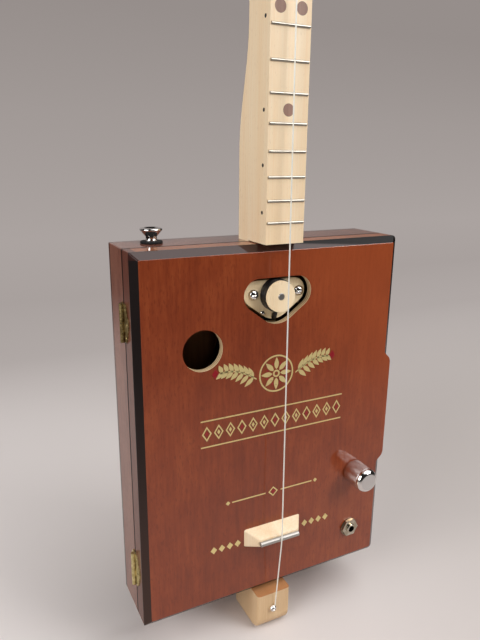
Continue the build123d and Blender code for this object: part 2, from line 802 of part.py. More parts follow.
# The volume control, hung from the lid, and its knob
knob_foot = -knob_gap
knob_front = knob_foot - knob_height
knob_bore_end = knob_front + knob_face_thick
set_screw_y = at(knob_foot - set_screw_rise)
pot_front = -washer_thick - nut_height
pot_back = lid_panel_thick + pot_thick
pot_bore = pot_shaft_radius + bearing_clear
pot_tip = pot_front - pot_thread_end
pot_bore_end = pot_back - pot_floor
knob_hollow = nut_height + washer_thick + knob_hollow_clear
with BuildPart() as pot_body:
    pin_y(control_x, knob_z, pot_radius, lid_panel_thick, pot_back)
    pin_y(control_x, knob_z, pot_bushing_radius, pot_tip, lid_panel_thick)
    lug_front = lid_panel_thick + lug_set_back
    for x in (control_x - lug_pitch, control_x, control_x + lug_pitch):
        block(x - lug_half, x + lug_half, lug_front, lug_front + lug_thick,
              knob_z - pot_radius - lug_length, knob_z - pot_radius + lug_root)
    pin_y(control_x, knob_z, pot_bore, pot_tip, pot_bore_end, mode=Mode.SUBTRACT)
with BuildPart() as pot_washer:
    washer_y(control_x, knob_z, pot_bushing_radius, pot_washer_radius, -washer_thick, 0)
with BuildPart() as pot_nut:
    hexagon_nut(control_x, knob_z, pot_bushing_radius, pot_nut_across, pot_front, -washer_thick)
with BuildPart() as pot_shaft:
    pin_y(control_x, knob_z, pot_shaft_radius, knob_bore_end, pot_bore_end - bearing_clear)
with BuildPart() as knob:
    pin_y(control_x, knob_z, knob_radius, knob_front, knob_foot)
    rims = knob.edges().filter_by(GeomType.CIRCLE).sort_by(Axis.Y)
    fillet(rims[0], knob_round)
    fillet(rims[-1], knob_foot_round)
    pin_y(control_x, knob_z, knob_hollow_radius, knob_foot - knob_hollow, knob_foot, mode=Mode.SUBTRACT)
    pin_y(control_x, knob_z, pot_shaft_radius, knob_bore_end, knob_foot, mode=Mode.SUBTRACT)
    with Locations((control_x, set_screw_y, knob_z - knob_radius / 2)):
        Cylinder(set_screw_radius + bearing_clear, knob_radius, mode=Mode.SUBTRACT)
with BuildPart() as knob_set_screw:
    with BuildSketch(Plane.XY.offset(knob_z - knob_radius + set_screw_sunk)):
        with Locations((control_x, set_screw_y)):
            Circle(set_screw_radius)
    extrude(amount=knob_radius - set_screw_sunk - pot_shaft_radius - bearing_clear)
finish(pot_body, "pot_body")
finish(pot_washer, "pot_washer")
finish(pot_nut, "pot_nut")
finish(pot_shaft, "pot_shaft")
finish(knob, "knob")
finish(knob_set_screw, "knob_set_screw")

# The jack: threaded sleeve with its flange, two contact springs, washer and nut
jack_back = lid_panel_thick + jack_flange_thick
with BuildPart() as jack_body:
    pin_y(jack_x, jack_z, jack_thread_radius, -jack_proud, lid_panel_thick)
    pin_y(jack_x, jack_z, jack_flange_radius, lid_panel_thick, jack_back)
    pin_y(jack_x, jack_z, jack_bore_radius, -jack_proud, jack_back, mode=Mode.SUBTRACT)
    chamfer(jack_body.edges().filter_by(GeomType.CIRCLE).sort_by(Axis.Y)[0], jack_chamfer)
with BuildPart() as jack_springs:
    for side, reach in ((1, jack_frame_depth), (-1, jack_frame_depth - spring_step)):
        near = jack_bore_radius + spring_gap
        x0, x1 = sorted((jack_x + side * near, jack_x + side * (near + spring_thick)))
        block(x0, x1, jack_back, lid_panel_thick + reach, jack_z - spring_half, jack_z + spring_half)
with BuildPart() as jack_washer:
    washer_y(jack_x, jack_z, jack_thread_radius, jack_washer_radius, -washer_thick, 0)
with BuildPart() as jack_nut:
    hexagon_nut(jack_x, jack_z, jack_thread_radius, jack_nut_across, -washer_thick - nut_height,
                -washer_thick)
finish(jack_body, "jack_body")
finish(jack_springs, "jack_springs")
finish(jack_washer, "jack_washer")
finish(jack_nut, "jack_nut")


def below_coil(x, depth, drop):
    """A point of a lead's route, measured from the pickup coil."""
    return (x, at(depth), coil_z - drop)


def by_wall(inset, depth, drop):
    """A point measured from the left wall's inner face, and down from the coil."""
    return (-half_box + wall + inset, at(depth), coil_z - drop)


def by_pot(x, depth, rise):
    """A point measured from the volume control's axis."""
    return (control_x + x, at(depth), knob_z + rise)


def by_jack(x, depth, rise):
    """A point measured from the jack's axis."""
    return (jack_x + x, at(depth), jack_z + rise)


# The leads: coil to the box, round the hinge side to the volume control, and on to the jack
lead_radius = lead_diameter / 2
lead_joint = below_coil(-34, 53, 61.5)
lead_route = [below_coil(0, 4.3, coil_radius + 0.2), below_coil(0, 4.5, 19.9), below_coil(0, 11.5, 22.9),
              below_coil(-7, 18, 23.5), below_coil(-18, 22, 25.5), below_coil(-22, 34, 29.5),
              below_coil(-26, 47, 35.5), below_coil(-30, 52, 45.5), lead_joint]
harness_route = [lead_joint, below_coil(-37.6, 53.9, 75.9), below_coil(-62, 53.5, 93.5),
                 by_wall(29.5, 52, 101.5), by_wall(12.5, 44, 105.5), by_wall(7.5, 30, 107.5),
                 by_wall(12.5, 16, 110.5), by_wall(27.5, 10.5, 117.5), by_pot(-152.5, 10, 57),
                 by_pot(-114.5, 10, 43), by_pot(-74.5, 10, 29), by_pot(-40.5, 10, 16), by_pot(-22.5, 9.6, 5),
                 by_pot(-13.5, 9.6, 1)]
jack_lead_route = [by_pot(-5, 8.4, -18.5), by_pot(-6.5, 13, -27), by_jack(-5, 18, 26),
                   by_jack(-3.6, 18.4, 16), by_jack(-0.8, 15.6, 8)]
with BuildPart() as pickup_lead:
    with BuildLine() as lead_line:
        cord_path(lead_route)
    tube_along(lead_line.wires()[0], lead_radius)
finish(pickup_lead, "pickup_lead")
with BuildPart() as volume_lead:
    with BuildLine() as harness_line:
        cord_path(harness_route)
    tube_along(harness_line.wires()[0], lead_radius)
finish(volume_lead, "volume_lead")
with BuildPart() as jack_lead:
    with BuildLine() as jack_line:
        cord_path(jack_lead_route)
    tube_along(jack_line.wires()[0], lead_radius / 2)
finish(jack_lead, "jack_lead")

# Hinges: two leaves each, rolled into knuckles on a pin beside the seam
hinge_x = -half_box - knuckle_radius - knuckle_clear
leaf_outer = -half_box - leaf_thick
knuckle_height = hinge_height / knuckle_count
pin_bore = hinge_pin_radius + bearing_clear
half_hinge = hinge_height / 2
cusp_rise = leaf_cusp_share * hinge_height


def leaf_outline(centre, sign):
    """One leaf's face: a wide middle lobe between two smaller ones."""
    near = lid_depth + sign * (knuckle_radius + leaf_clear)
    lobe = Vector(leaf_cusp_reach - leaf_end_reach, half_hinge - cusp_rise, 0)
    bulge = Vector(lobe.Y, lobe.X, 0).normalized() * leaf_bulge

    def spot(reach, rise):
        return (at(lid_depth + sign * reach), centre + rise)

    middle_reach = (leaf_cusp_reach + leaf_end_reach) / 2 + bulge.X
    middle_rise = (half_hinge + cusp_rise) / 2 + bulge.Y
    with BuildSketch(Plane.YZ.offset(-half_box)) as outline:
        with BuildLine():
            Polyline(spot(leaf_end_reach, half_hinge), (at(near), centre + half_hinge),
                     (at(near), centre - half_hinge), spot(leaf_end_reach, -half_hinge))
            ThreePointArc(spot(leaf_end_reach, -half_hinge), spot(middle_reach, -middle_rise),
                          spot(leaf_cusp_reach, -cusp_rise))
            ThreePointArc(spot(leaf_cusp_reach, -cusp_rise), spot(leaf_reach, 0),
                          spot(leaf_cusp_reach, cusp_rise))
            ThreePointArc(spot(leaf_cusp_reach, cusp_rise), spot(middle_reach, middle_rise),
                          spot(leaf_end_reach, half_hinge))
        make_face()
    return outline.sketch


def hinge_leaf(name, centre, on_tray):
    """One brass leaf with its knuckles: the tray's has the odd ones."""
    low = centre - half_hinge
    sign = 1 if on_tray else -1
    near = lid_depth + sign * (knuckle_radius + leaf_clear)
    with BuildPart() as leaf:
        extrude(leaf_outline(centre, sign), amount=-leaf_thick)
        add(tray_nails if on_tray else lid_nails, mode=Mode.SUBTRACT)
        for number in range(knuckle_count):
            if (number % 2 == 0) == on_tray:
                z0 = low + number * knuckle_height + knuckle_gap / 2
                z1 = z0 + knuckle_height - knuckle_gap
                block(leaf_outer, -half_box, min(near, lid_depth), max(near, lid_depth), z0, z1)
                pin_z(hinge_x, lid_depth, knuckle_radius, z0, z1)
        pin_z(hinge_x, lid_depth, pin_bore, low, low + hinge_height, mode=Mode.SUBTRACT)
    finish(leaf, name)


for centre, place in zip(hinge_centres, ("upper", "lower")):
    hinge_leaf(f"{place}_hinge_tray_leaf", centre, True)
    hinge_leaf(f"{place}_hinge_lid_leaf", centre, False)
with BuildPart() as hinge_pins:
    for centre in hinge_centres:
        pin_z(hinge_x, lid_depth, hinge_pin_radius, centre - half_hinge, centre + half_hinge)
finish(hinge_pins, "hinge_pins")


def button_profile():
    """Half of a strap button: waist, flared cone and rounded flange, seated on Z = 0."""
    foot = button_waist + button_foot_flare
    rim_low = (button_flange - button_rim_high, button_height - button_rim_low)
    rim_high = (button_flange - 2 * button_rim_high, button_height - button_rim_high)
    with BuildSketch(Plane.XZ) as profile:
        with BuildLine():
            Polyline((button_screw_radius, 0), (foot, 0), (foot, button_foot_thick),
                     (button_waist, button_waist_low), (button_waist, button_waist_high))
            Line((button_waist, button_waist_high), rim_low)
            ThreePointArc(rim_low, (button_flange, button_height - button_rim_middle), rim_high)
            Polyline(rim_high, (button_waist + button_dish, button_height),
                     (button_screw_radius, button_height - button_recess), (button_screw_radius, 0))
        make_face()
    return profile.sketch


# Strap buttons: one on the tray's top wall, one behind the tail, each on a felt washer
top_seat = Location((button_x, at(button_depth), box_top))
tail_seat = Location((0, at(tail_back), tail_button_z), (-90, 0, 0))
with BuildPart() as one_button:
    revolve(button_profile(), axis=Axis.Z)
with BuildPart() as one_felt:
    on_seat = (Align.CENTER, Align.CENTER, Align.MIN)
    Cylinder(felt_radius, felt_thick, align=on_seat)
    Cylinder(button_screw_radius, felt_thick, align=on_seat, mode=Mode.SUBTRACT)
with BuildPart() as one_button_screw:
    with BuildSketch():
        Circle(button_screw_radius)
    extrude(amount=-(button_screw_length - felt_thick))
    extrude(one_button_screw.faces().sort_by(Axis.Z)[-1], amount=button_height + felt_thick - button_recess)
    with Locations((0, 0, button_height + felt_thick - button_recess)):
        Cone(button_screw_radius, button_screw_radius + button_screw_flare, button_screw_head,
             align=(Align.CENTER, Align.CENTER, Align.MIN))
with BuildPart() as strap_buttons:
    for seat in (top_seat, tail_seat):
        add(one_button.part.moved(seat * Location((0, 0, felt_thick))))
with BuildPart() as strap_felts:
    for seat in (top_seat, tail_seat):
        add(one_felt.part.moved(seat))
with BuildPart() as strap_screws:
    for seat in (top_seat, tail_seat):
        add(one_button_screw.part.moved(seat))
finish(strap_buttons, "strap_buttons")
finish(strap_felts, "strap_felts")
finish(strap_screws, "strap_screws")

# The tuner: plate with two ears behind the headstock, worm and key, gear and post
plate_back_depth = head_back + plate_thick
gear_depth = plate_back_depth + gear_gap
gear_middle = gear_depth + gear_thick / 2
ear_inner = ear_gap / 2
ear_outer = ear_inner + ear_thick
plate_half = ear_outer
plate_low, plate_high = tuner_screw_places[0] - plate_end, tuner_screw_places[1] + plate_end
with BuildPart() as tuner_plate:
    block(post_x - plate_half, post_x + plate_half, head_back, plate_back_depth, plate_low, plate_high)
    fillet(tuner_plate.edges().filter_by(Axis.Y), plate_corner)
    for side in (-1, 1):
        x0, x1 = sorted((post_x + side * ear_inner, post_x + side * ear_outer))
        block(x0, x1, head_back, gear_middle + ear_half, worm_z - ear_half, worm_z + ear_half)
    with Locations(Location((post_x, at(gear_middle), worm_z), (0, 90, 0))):
        Cylinder(shaft_radius + bearing_clear, 3 * ear_outer, mode=Mode.SUBTRACT)
    pin_y(post_x, post_z, post_radius + bearing_clear, head_back, plate_back_depth, mode=Mode.SUBTRACT)
    for z in tuner_screw_places:
        pin_y(post_x, z, tuner_screw_radius, head_back, plate_back_depth, mode=Mode.SUBTRACT)
finish(tuner_plate, "tuner_plate")
with BuildPart() as tuner_screws:
    for z in tuner_screw_places:
        pin_y(post_x, z, tuner_screw_radius, head_back - tuner_screw_length, plate_back_depth)
        with Locations(Location((post_x, at(plate_back_depth), z), (-90, 0, 0))):
            Cone(tuner_screw_head, tuner_screw_crown, tuner_screw_dome,
                 align=(Align.CENTER, Align.CENTER, Align.MIN))
with BuildPart() as tuner_bushing:
    pin_y(post_x, post_z, bushing_radius, head_front, head_back)
    pin_y(post_x, post_z, bushing_flange, head_front - bushing_flange_thick, head_front)
    pin_y(post_x, post_z, post_radius + bearing_clear, head_front - bushing_flange_thick, head_back,
          mode=Mode.SUBTRACT)
post_front = head_front - post_reach
with BuildPart() as tuner_post:
    pin_y(post_x, post_z, post_radius, post_front, gear_depth + gear_thick)
    fillet(tuner_post.edges().filter_by(GeomType.CIRCLE).sort_by(Axis.Y)[0], post_round)
    with Locations((post_x, turn_point(turn_count * 2 * pi).Y, post_z)):
        Cylinder(string_radius + post_hole_clear, 3 * post_radius, mode=Mode.SUBTRACT)
finish(tuner_screws, "tuner_screws")
finish(tuner_bushing, "tuner_bushing")
finish(tuner_post, "tuner_post")

# The gear's teeth are straight-sided, cut wide enough for the worm's slanted thread
tooth_root = gear_pitch - gear_dedendum * gear_module
tooth_tip = gear_pitch + gear_addendum * gear_module
worm_pitch = pi * gear_module
tooth_half = worm_pitch * root_share / gear_pitch    # half a tooth at its root, in radians
tip_half = worm_pitch * tip_share / gear_pitch


def polar(radius, angle):
    return (post_x + radius * sin(angle), post_z + radius * cos(angle))


with BuildPart() as tuner_gear:
    with BuildSketch(front_plane(gear_depth)):
        with BuildLine():
            corners = []
            for tooth in range(gear_teeth):
                middle = 2 * pi * tooth / gear_teeth
                corners += [polar(tooth_root, middle - tooth_half), polar(tooth_tip, middle - tip_half),
                            polar(tooth_tip, middle + tip_half), polar(tooth_root, middle + tooth_half)]
            Polyline(*corners, close=True)
        make_face()
        with Locations((post_x, post_z)):
            Circle(post_radius, mode=Mode.SUBTRACT)
    extrude(amount=-gear_thick)
    pin_y(post_x, post_z, gear_hub_radius, plate_back_depth + gear_hub_clear, gear_depth)
    pin_y(post_x, post_z, post_radius, plate_back_depth, gear_depth, mode=Mode.SUBTRACT)
finish(tuner_gear, "tuner_gear")

# The worm's thread, with a space over the gear's top tooth at rest
thread_foot_half, thread_tip_half = thread_share * worm_pitch, tip_share * worm_pitch
thread_length = worm_turns * worm_pitch
key_start = half_neck + key_gap - post_x
with BuildPart() as worm_along_z:
    with BuildLine() as thread_line:
        Helix(worm_pitch, thread_length, worm_root, center=(0, 0, -thread_length / 2))
    with BuildSketch(Plane(origin=(worm_root, 0, -thread_length / 2), x_dir=(1, 0, 0), z_dir=(0, -1, 0))):
        with BuildLine():
            reach = worm_tip - worm_root
            Polyline((-worm_sunk, -thread_foot_half), (reach, -thread_tip_half), (reach, thread_tip_half),
                     (-worm_sunk, thread_foot_half), close=True)
        make_face()
    sweep(path=thread_line.wires()[0], is_frenet=True)
    Cylinder(worm_root, ear_gap - 2 * worm_end_clear)
    with BuildSketch(Plane.XY.offset(-ear_outer - shaft_end)):
        Circle(shaft_radius)
    extrude(amount=ear_outer + shaft_end + key_start + key_socket)
worm_seat = Plane(origin=(post_x, at(gear_middle), worm_z), x_dir=(0, 0, -1), z_dir=(1, 0, 0))
worm = worm_seat.location * worm_along_z.part
worm.label = "tuner_worm"
export_step(worm, "parts/tuner_worm.step")
with BuildPart() as tuner_key:
    key_x = half_neck + key_gap
    with BuildSketch(front_plane(gear_middle + key_thick / 2)):
        with Locations((key_x + key_length / 2 + key_blade_gap, worm_z)):
            Ellipse(key_length / 2, key_width / 2)
    extrude(amount=key_thick)
    fillet(tuner_key.edges().group_by(Axis.Y)[0] + tuner_key.edges().group_by(Axis.Y)[-1], key_round)
    with BuildSketch(Plane.YZ.offset(key_x)):
        with Locations((at(gear_middle), worm_z)):
            Circle(key_collar_radius)
    extrude(amount=key_collar_length)
    with BuildSketch(Plane.YZ.offset(key_x)):
        with Locations((at(gear_middle), worm_z)):
            Circle(shaft_radius)
    extrude(amount=key_socket, mode=Mode.SUBTRACT)
finish(tuner_key, "tuner_key")
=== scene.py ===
import math

import bmesh
import bpy
from mathutils import Matrix, Vector


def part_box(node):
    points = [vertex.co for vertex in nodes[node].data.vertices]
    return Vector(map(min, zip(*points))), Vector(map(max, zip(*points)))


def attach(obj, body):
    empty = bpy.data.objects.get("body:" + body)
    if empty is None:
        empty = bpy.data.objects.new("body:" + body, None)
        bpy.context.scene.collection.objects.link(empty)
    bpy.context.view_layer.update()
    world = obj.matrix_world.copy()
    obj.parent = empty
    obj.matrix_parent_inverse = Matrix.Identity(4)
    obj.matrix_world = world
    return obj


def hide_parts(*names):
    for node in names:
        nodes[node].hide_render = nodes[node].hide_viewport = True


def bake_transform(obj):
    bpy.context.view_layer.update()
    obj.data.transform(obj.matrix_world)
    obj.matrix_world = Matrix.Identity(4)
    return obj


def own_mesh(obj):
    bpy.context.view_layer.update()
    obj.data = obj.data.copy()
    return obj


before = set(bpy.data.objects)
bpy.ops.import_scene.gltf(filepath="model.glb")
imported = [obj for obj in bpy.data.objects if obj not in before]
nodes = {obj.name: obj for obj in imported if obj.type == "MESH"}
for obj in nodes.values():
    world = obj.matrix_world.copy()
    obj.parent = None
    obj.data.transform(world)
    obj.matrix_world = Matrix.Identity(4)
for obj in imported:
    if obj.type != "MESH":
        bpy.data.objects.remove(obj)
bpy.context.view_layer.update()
mm = 0.001

# The box's own planes, read from the frame
lidLow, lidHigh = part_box("lid_panel")
faceY = lidLow.y
boxLow, boxTop = lidLow.z, lidHigh.z
halfBox = -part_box("tray_left_wall")[0].x
seamY = (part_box("lid_left_rim")[1].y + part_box("tray_left_wall")[0].y) / 2
bevelInset, bevelDeep = 6 * mm, 5 * mm
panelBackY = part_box("lid_left_rim")[0].y
wallInner = -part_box("tray_left_wall")[1].x
lipFrom, lipTo = 100 * mm, 228 * mm
tailTop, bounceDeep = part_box("tail_block")[1].z, 2.2 * mm
bayLow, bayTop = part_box("tray_bottom_wall")[1].z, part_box("tray_top_wall")[0].z
print("frame read: box from", round(boxLow, 4), "to", round(boxTop, 4))


# Shader maths
class Wire:
    def __init__(self, finish, socket):
        self.finish = finish
        self.socket = socket

    def math(self, operation, *others, swapped=False):
        operands = [*others, self] if swapped else [self, *others]
        return self.finish.node("ShaderNodeMath", {"operation": operation}, dict(enumerate(operands)))

    def __add__(self, other):
        return self.math("ADD", other)

    __radd__ = __add__

    def __sub__(self, other):
        return self.math("SUBTRACT", other)

    def __rsub__(self, other):
        return self.math("SUBTRACT", other, swapped=True)

    def __mul__(self, other):
        return self.math("MULTIPLY", other)

    __rmul__ = __mul__

    def __truediv__(self, other):
        return self.math("DIVIDE", other)

    def __rtruediv__(self, other):
        return self.math("DIVIDE", other, swapped=True)

    def __pow__(self, other):
        return self.math("POWER", other)

    def __gt__(self, other):
        return self.math("GREATER_THAN", other)

    def __lt__(self, other):
        return self.math("LESS_THAN", other)

    def __abs__(self):
        return self.math("ABSOLUTE")

    def smooth(self, low, high):  # 0 below low, 1 above high
        return self.finish.node("ShaderNodeMapRange", {"interpolation_type": "SMOOTHSTEP"},
                                {0: self, 1: low, 2: high})

    def wave(self, period):  # 0 to 1 and back, once a period
        return (self * (math.tau / period)).math("SINE") * 0.5 + 0.5


def tint(text):  # a colour as seen on screen, as the renderer takes it
    shares = [int(text[i:i + 2], 16) / 255 for i in (0, 2, 4)]
    return tuple(c / 12.92 if c < 0.04045 else ((c + 0.055) / 1.055) ** 2.4 for c in shares) + (1.0,)


class Finish:
    def __init__(self, name, owner=None):
        self.owner = owner or bpy.data.materials.new(name)
        self.owner.use_nodes = True
        self.tree = self.owner.node_tree
        self.tree.nodes.clear()

    def node(self, kind, settings=None, values=None, output=0):
        made = self.tree.nodes.new(kind)
        for key, value in (settings or {}).items():
            if key == "stops":
                ramp = made.color_ramp
                while len(ramp.elements) < len(value):
                    ramp.elements.new(0.5)
                for element, (place, colour) in zip(ramp.elements, value):
                    element.position = place
                    element.color = tint(colour) if isinstance(colour, str) else colour
            else:
                setattr(made, key, value)
        for key, value in (values or {}).items():
            if isinstance(value, Wire):
                self.tree.links.new(value.socket, made.inputs[key])
            else:
                made.inputs[key].default_value = value
        return Wire(self, made.outputs[output]) if made.outputs else None

    def place(self):
        return self.node("ShaderNodeTexCoord", output="Object")

    def split(self, vector):
        return [self.node("ShaderNodeSeparateXYZ", values={0: vector}, output=i) for i in range(3)]

    def stretched(self, vector, scale):
        return self.node("ShaderNodeMapping", values={0: vector, 3: scale})

    def noise(self, vector, scale=1.0, detail=3.0, roughness=0.5, distortion=0.0):
        return self.node("ShaderNodeTexNoise", values={"Vector": vector, "Scale": scale, "Detail": detail,
                                                       "Roughness": roughness, "Distortion": distortion})

    def grain(self, place, along, scale, detail, roughness, distortion=0.0):  # noise drawn out along Z
        return self.noise(self.stretched(place, (1, 1, along)), scale, detail, roughness, distortion)

    def mix(self, share, first, second):
        return self.node("ShaderNodeMix", {"data_type": "RGBA"}, {0: share, 6: first, 7: second}, output=2)

    def ramp(self, value, stops):
        return self.node("ShaderNodeValToRGB", {"stops": stops}, {0: value})

    def bump(self, height, distance, strength=1.0):
        return self.node("ShaderNodeBump", values={"Height": height, "Distance": distance,
                                                   "Strength": strength})

    def surface(self, **sockets):
        values = {key.replace("_", " "): value for key, value in sockets.items()}
        shader = self.node("ShaderNodeBsdfPrincipled", values=values)
        self.node("ShaderNodeOutputMaterial", values={0: shader})
        return self.owner


def slab(place, low, high):  # 1 between two places along one axis
    return (place > low) * (place < high)


# Mahogany under lacquer: soft bands, mottle, fine streaks and short dark pores, all along Z.
# Each grain is its scale along Z, then the noise's scale, detail, roughness and distortion.
lacquer = {"bands": (0.22, 18, 3, 0.5, 0.4), "mottle": (0.6, 60, 4, 0.55), "streaks": (0.08, 360, 3, 0.55),
           "pores": (0.2, 900, 1.5, 0.5), "bandShare": 0.34, "mottleShare": 0.3, "streakShare": 0.36,
           "tones": (0.3, 0.5, 0.7), "poreFrom": (0.57, 0.68), "poreShare": 0.5, "seamHalf": 1.3,
           "seam": "1a0a06", "rawDark": "7d5232", "rawLight": "a9764c", "slack": 0.05, "rough": 0.4,
           "roughStreaks": 0.12, "roughRaw": 0.3, "coatRoughness": 0.035, "specular": 0.12,
           "reliefStreaks": 0.3, "reliefHeight": 0.04, "reliefStrength": 0.25}


def mahogany(name, dark, mid, light):
    skin = Finish(name)
    place = skin.place()
    x, y, z = skin.split(place)
    bands = skin.grain(place, *lacquer["bands"])
    mottle = skin.grain(place, *lacquer["mottle"])
    streaks = skin.grain(place, *lacquer["streaks"])
    pits = skin.grain(place, *lacquer["pores"]).smooth(*lacquer["poreFrom"])
    tone = bands * lacquer["bandShare"] + mottle * lacquer["mottleShare"] + streaks * lacquer["streakShare"]
    low, middle, high = lacquer["tones"]
    colour = skin.ramp(tone, [(low, dark), (middle, mid), (high, light)])
    colour = skin.mix(pits * lacquer["poreShare"], colour, tint(dark))
    # the seam between lid and tray: a dark joint, widened with painted shade
    seam = abs(y - seamY) < lacquer["seamHalf"] * mm
    colour = skin.mix(seam, colour, tint(lacquer["seam"]))
    slack = lacquer["slack"] * mm
    inside = (abs(x) < wallInner + slack) * slab(z, bayLow - slack, bayTop + slack)
    inside = inside * (y > panelBackY - slack)  # the bare wood within the box
    raw = skin.ramp(tone, [(low, lacquer["rawDark"]), (high, lacquer["rawLight"])])
    colour = skin.mix(inside, colour, raw)
    coat = (1 - inside) * (1 - seam)
    return skin, place, colour, coat, streaks, pits, inside


def lacquered(skin, colour, rough, coat, streaks, pits):
    relief = skin.bump(streaks * lacquer["reliefStreaks"] - pits, lacquer["reliefHeight"] * mm,
                       lacquer["reliefStrength"])
    return skin.surface(Base_Color=colour, Roughness=rough, Coat_Weight=coat,
                        Coat_Roughness=lacquer["coatRoughness"], Specular_IOR_Level=lacquer["specular"],
                        Normal=relief)


# The lid's bevels are stained dark. The side and bottom bevels carry a painted reflection of the floor,
# lighter towards the bottom, and the top bevel has painted shade, darker and less glossy towards its right
# end
bevel = {"stain": "120604", "floorReflection": "38231c", "topStain": "34150e", "paintedShade": "0c0504", "ease": 0.25,
         "reflectionFrom": (20, 240), "sideCoat": 0.4, "topCoat": 0.8, "shadeAt": -10, "shadeLong": 95,
         "shadeFrom": (0.9, 1.2), "shadeCoat": 0.12}


def bevelled(skin, place, colour, coat):
    x, y, z = skin.split(place)
    ease = bevel["ease"] * mm
    lip = x > halfBox - bevelInset + ease + (y - faceY) * (bevelInset / bevelDeep)
    lip = lip * slab(z, boxLow + lipFrom, boxLow + lipTo)
    face = abs(x) < halfBox - bevelInset + ease
    face = face * slab(z, boxLow + bevelInset - ease, boxTop - bevelInset + ease)
    flat = face.math("MAXIMUM", lip)
    top = z > boxTop - bevelInset
    # painted shade on the top bevel: darker colour and thinner coat towards its right end, a dark reflection
    # painted in
    back = (y - faceY) / bevelDeep + (x - bevel["shadeAt"] * mm) / (bevel["shadeLong"] * mm)
    paintedShade = back.smooth(*bevel["shadeFrom"]) * top
    # painted reflection of the floor: the side and bottom bevels lighter towards the bottom
    low, high = bevel["reflectionFrom"]
    rise = z.smooth(boxLow + low * mm, boxLow + high * mm)
    side = skin.mix(rise, tint(bevel["floorReflection"]), tint(bevel["stain"]))
    stain = skin.mix(top, side, tint(bevel["topStain"]))
    stain = skin.mix(paintedShade, stain, tint(bevel["paintedShade"]))
    edgeCoat = bevel["sideCoat"] + top * (bevel["topCoat"] - bevel["sideCoat"])
    edgeCoat = edgeCoat * (1 - paintedShade * (1 - bevel["shadeCoat"]))
    return skin.mix(flat, stain, colour), coat * (flat + (1 - flat) * edgeCoat)


# The lid has a painted pool of light in its upper right, and its holes show the plies
lidWood = {"tones": ("6a2a13", "84391b", "994a25"), "pale": "b0552c", "lightX": 20, "lightZ": 240,
           "lightSlope": 0.9, "lightLong": 160, "lightShare": 0.45, "across": 0.35, "holeMargin": 9,
           "plyPitch": 2.4, "plyShare": 0.7, "fibreStretch": (1, 2.5, 1), "fibreScale": 900,
           "fibreDetail": 3, "plyTones": [(0.2, "a98962"), (0.8, "ddc39c")], "rough": 0.42}


def lidFinish():
    skin, place, colour, coat, streaks, pits, inside = mahogany("lid_lacquer", *lidWood["tones"])
    x, y, z = skin.split(place)
    # painted light: the lid lighter towards its upper right
    paintedLight = x - lidWood["lightX"] * mm + (z - lidWood["lightZ"] * mm) * lidWood["lightSlope"]
    paintedLight = paintedLight.smooth(0.0, lidWood["lightLong"] * mm)
    colour = skin.mix(paintedLight * lidWood["lightShare"], colour, tint(lidWood["pale"]))
    colour, coat = bevelled(skin, place, colour, coat)
    normal = skin.node("ShaderNodeTexCoord", output="Normal")
    across = abs(skin.split(normal)[1]) < lidWood["across"]
    margin = lidWood["holeMargin"] * mm
    holes = across * (abs(x) < halfBox - margin) * slab(z, boxLow + margin, boxTop - margin)
    plies = (y - faceY).wave(lidWood["plyPitch"] * mm)
    fibre = skin.noise(skin.stretched(place, lidWood["fibreStretch"]), lidWood["fibreScale"],
                       lidWood["fibreDetail"])
    plyTone = plies * lidWood["plyShare"] + fibre * (1 - lidWood["plyShare"])
    colour = skin.mix(holes, colour, skin.ramp(plyTone, lidWood["plyTones"]))
    rough = lidWood["rough"] + streaks * lacquer["roughStreaks"] + (holes + inside) * lacquer["roughRaw"]
    return lacquered(skin, colour, rough, coat * (1 - holes), streaks, pits)


def wallFinish(name, dark, mid, light, gloss=1.0):
    skin, _, colour, coat, streaks, pits, inside = mahogany(name, dark, mid, light)
    rough = lacquer["rough"] + streaks * lacquer["roughStreaks"] + inside * lacquer["roughRaw"]
    return lacquered(skin, colour, rough, coat * gloss, streaks, pits)


# Pale wood: broad bands, fine lines and short flecks along Z
pale = {"bands": (0.05, 60, 4, 0.5, 0.4), "lines": (0.02, 700, 3, 0.6), "flecks": (0.16, 1300, 2, 0.5),
        "bandShare": 0.5, "lineShare": 0.5, "tones": (0.28, 0.72), "fleckFrom": (0.62, 0.74),
        "fleckShare": 0.3, "fleck": "b98f63", "bounceShare": 0.8, "rough": 0.46, "roughLines": 0.15,
        "coatRoughness": 0.25, "reliefHeight": 0.05, "reliefStrength": 0.3}


def mapleFinish(name, dark, light, gloss=0.25, end=None):
    skin = Finish(name)
    place = skin.place()
    bands = skin.grain(place, *pale["bands"])
    lines = skin.grain(place, *pale["lines"])
    flecks = skin.grain(place, *pale["flecks"]).smooth(*pale["fleckFrom"])
    low, high = pale["tones"]
    tone = bands * pale["bandShare"] + lines * pale["lineShare"]
    colour = skin.ramp(tone, [(low, dark), (high, light)])
    colour = skin.mix(flecks * pale["fleckShare"], colour, tint(pale["fleck"]))
    if end:  # the top face above this height: painted shade with the lid's red reflected in it
        height, bounceTone = end
        paintedBounce = (skin.split(place)[2] > height) * pale["bounceShare"]
        colour = skin.mix(paintedBounce, colour, tint(bounceTone))
    relief = skin.bump(lines, pale["reliefHeight"] * mm, pale["reliefStrength"])
    return skin.surface(Base_Color=colour, Roughness=pale["rough"] + lines * pale["roughLines"],
                        Coat_Weight=gloss, Coat_Roughness=pale["coatRoughness"], Normal=relief)


# Smudges on metal, and the fine mottle of plastic, felt and bone
smudge = {"detail": 4, "roughness": 0.6, "from": (0.35, 0.75), "reliefStrength": 0.5}


def metalFinish(name, colour, rough, worn=0.06, scale=180, dark=None, share=1.0):
    skin = Finish(name)
    smudges = skin.noise(skin.place(), scale, smudge["detail"], smudge["roughness"])
    shade = skin.mix(smudges.smooth(*smudge["from"]), tint(dark or colour), tint(colour))
    return skin.surface(Base_Color=shade, Metallic=share, Roughness=rough + smudges * worn)


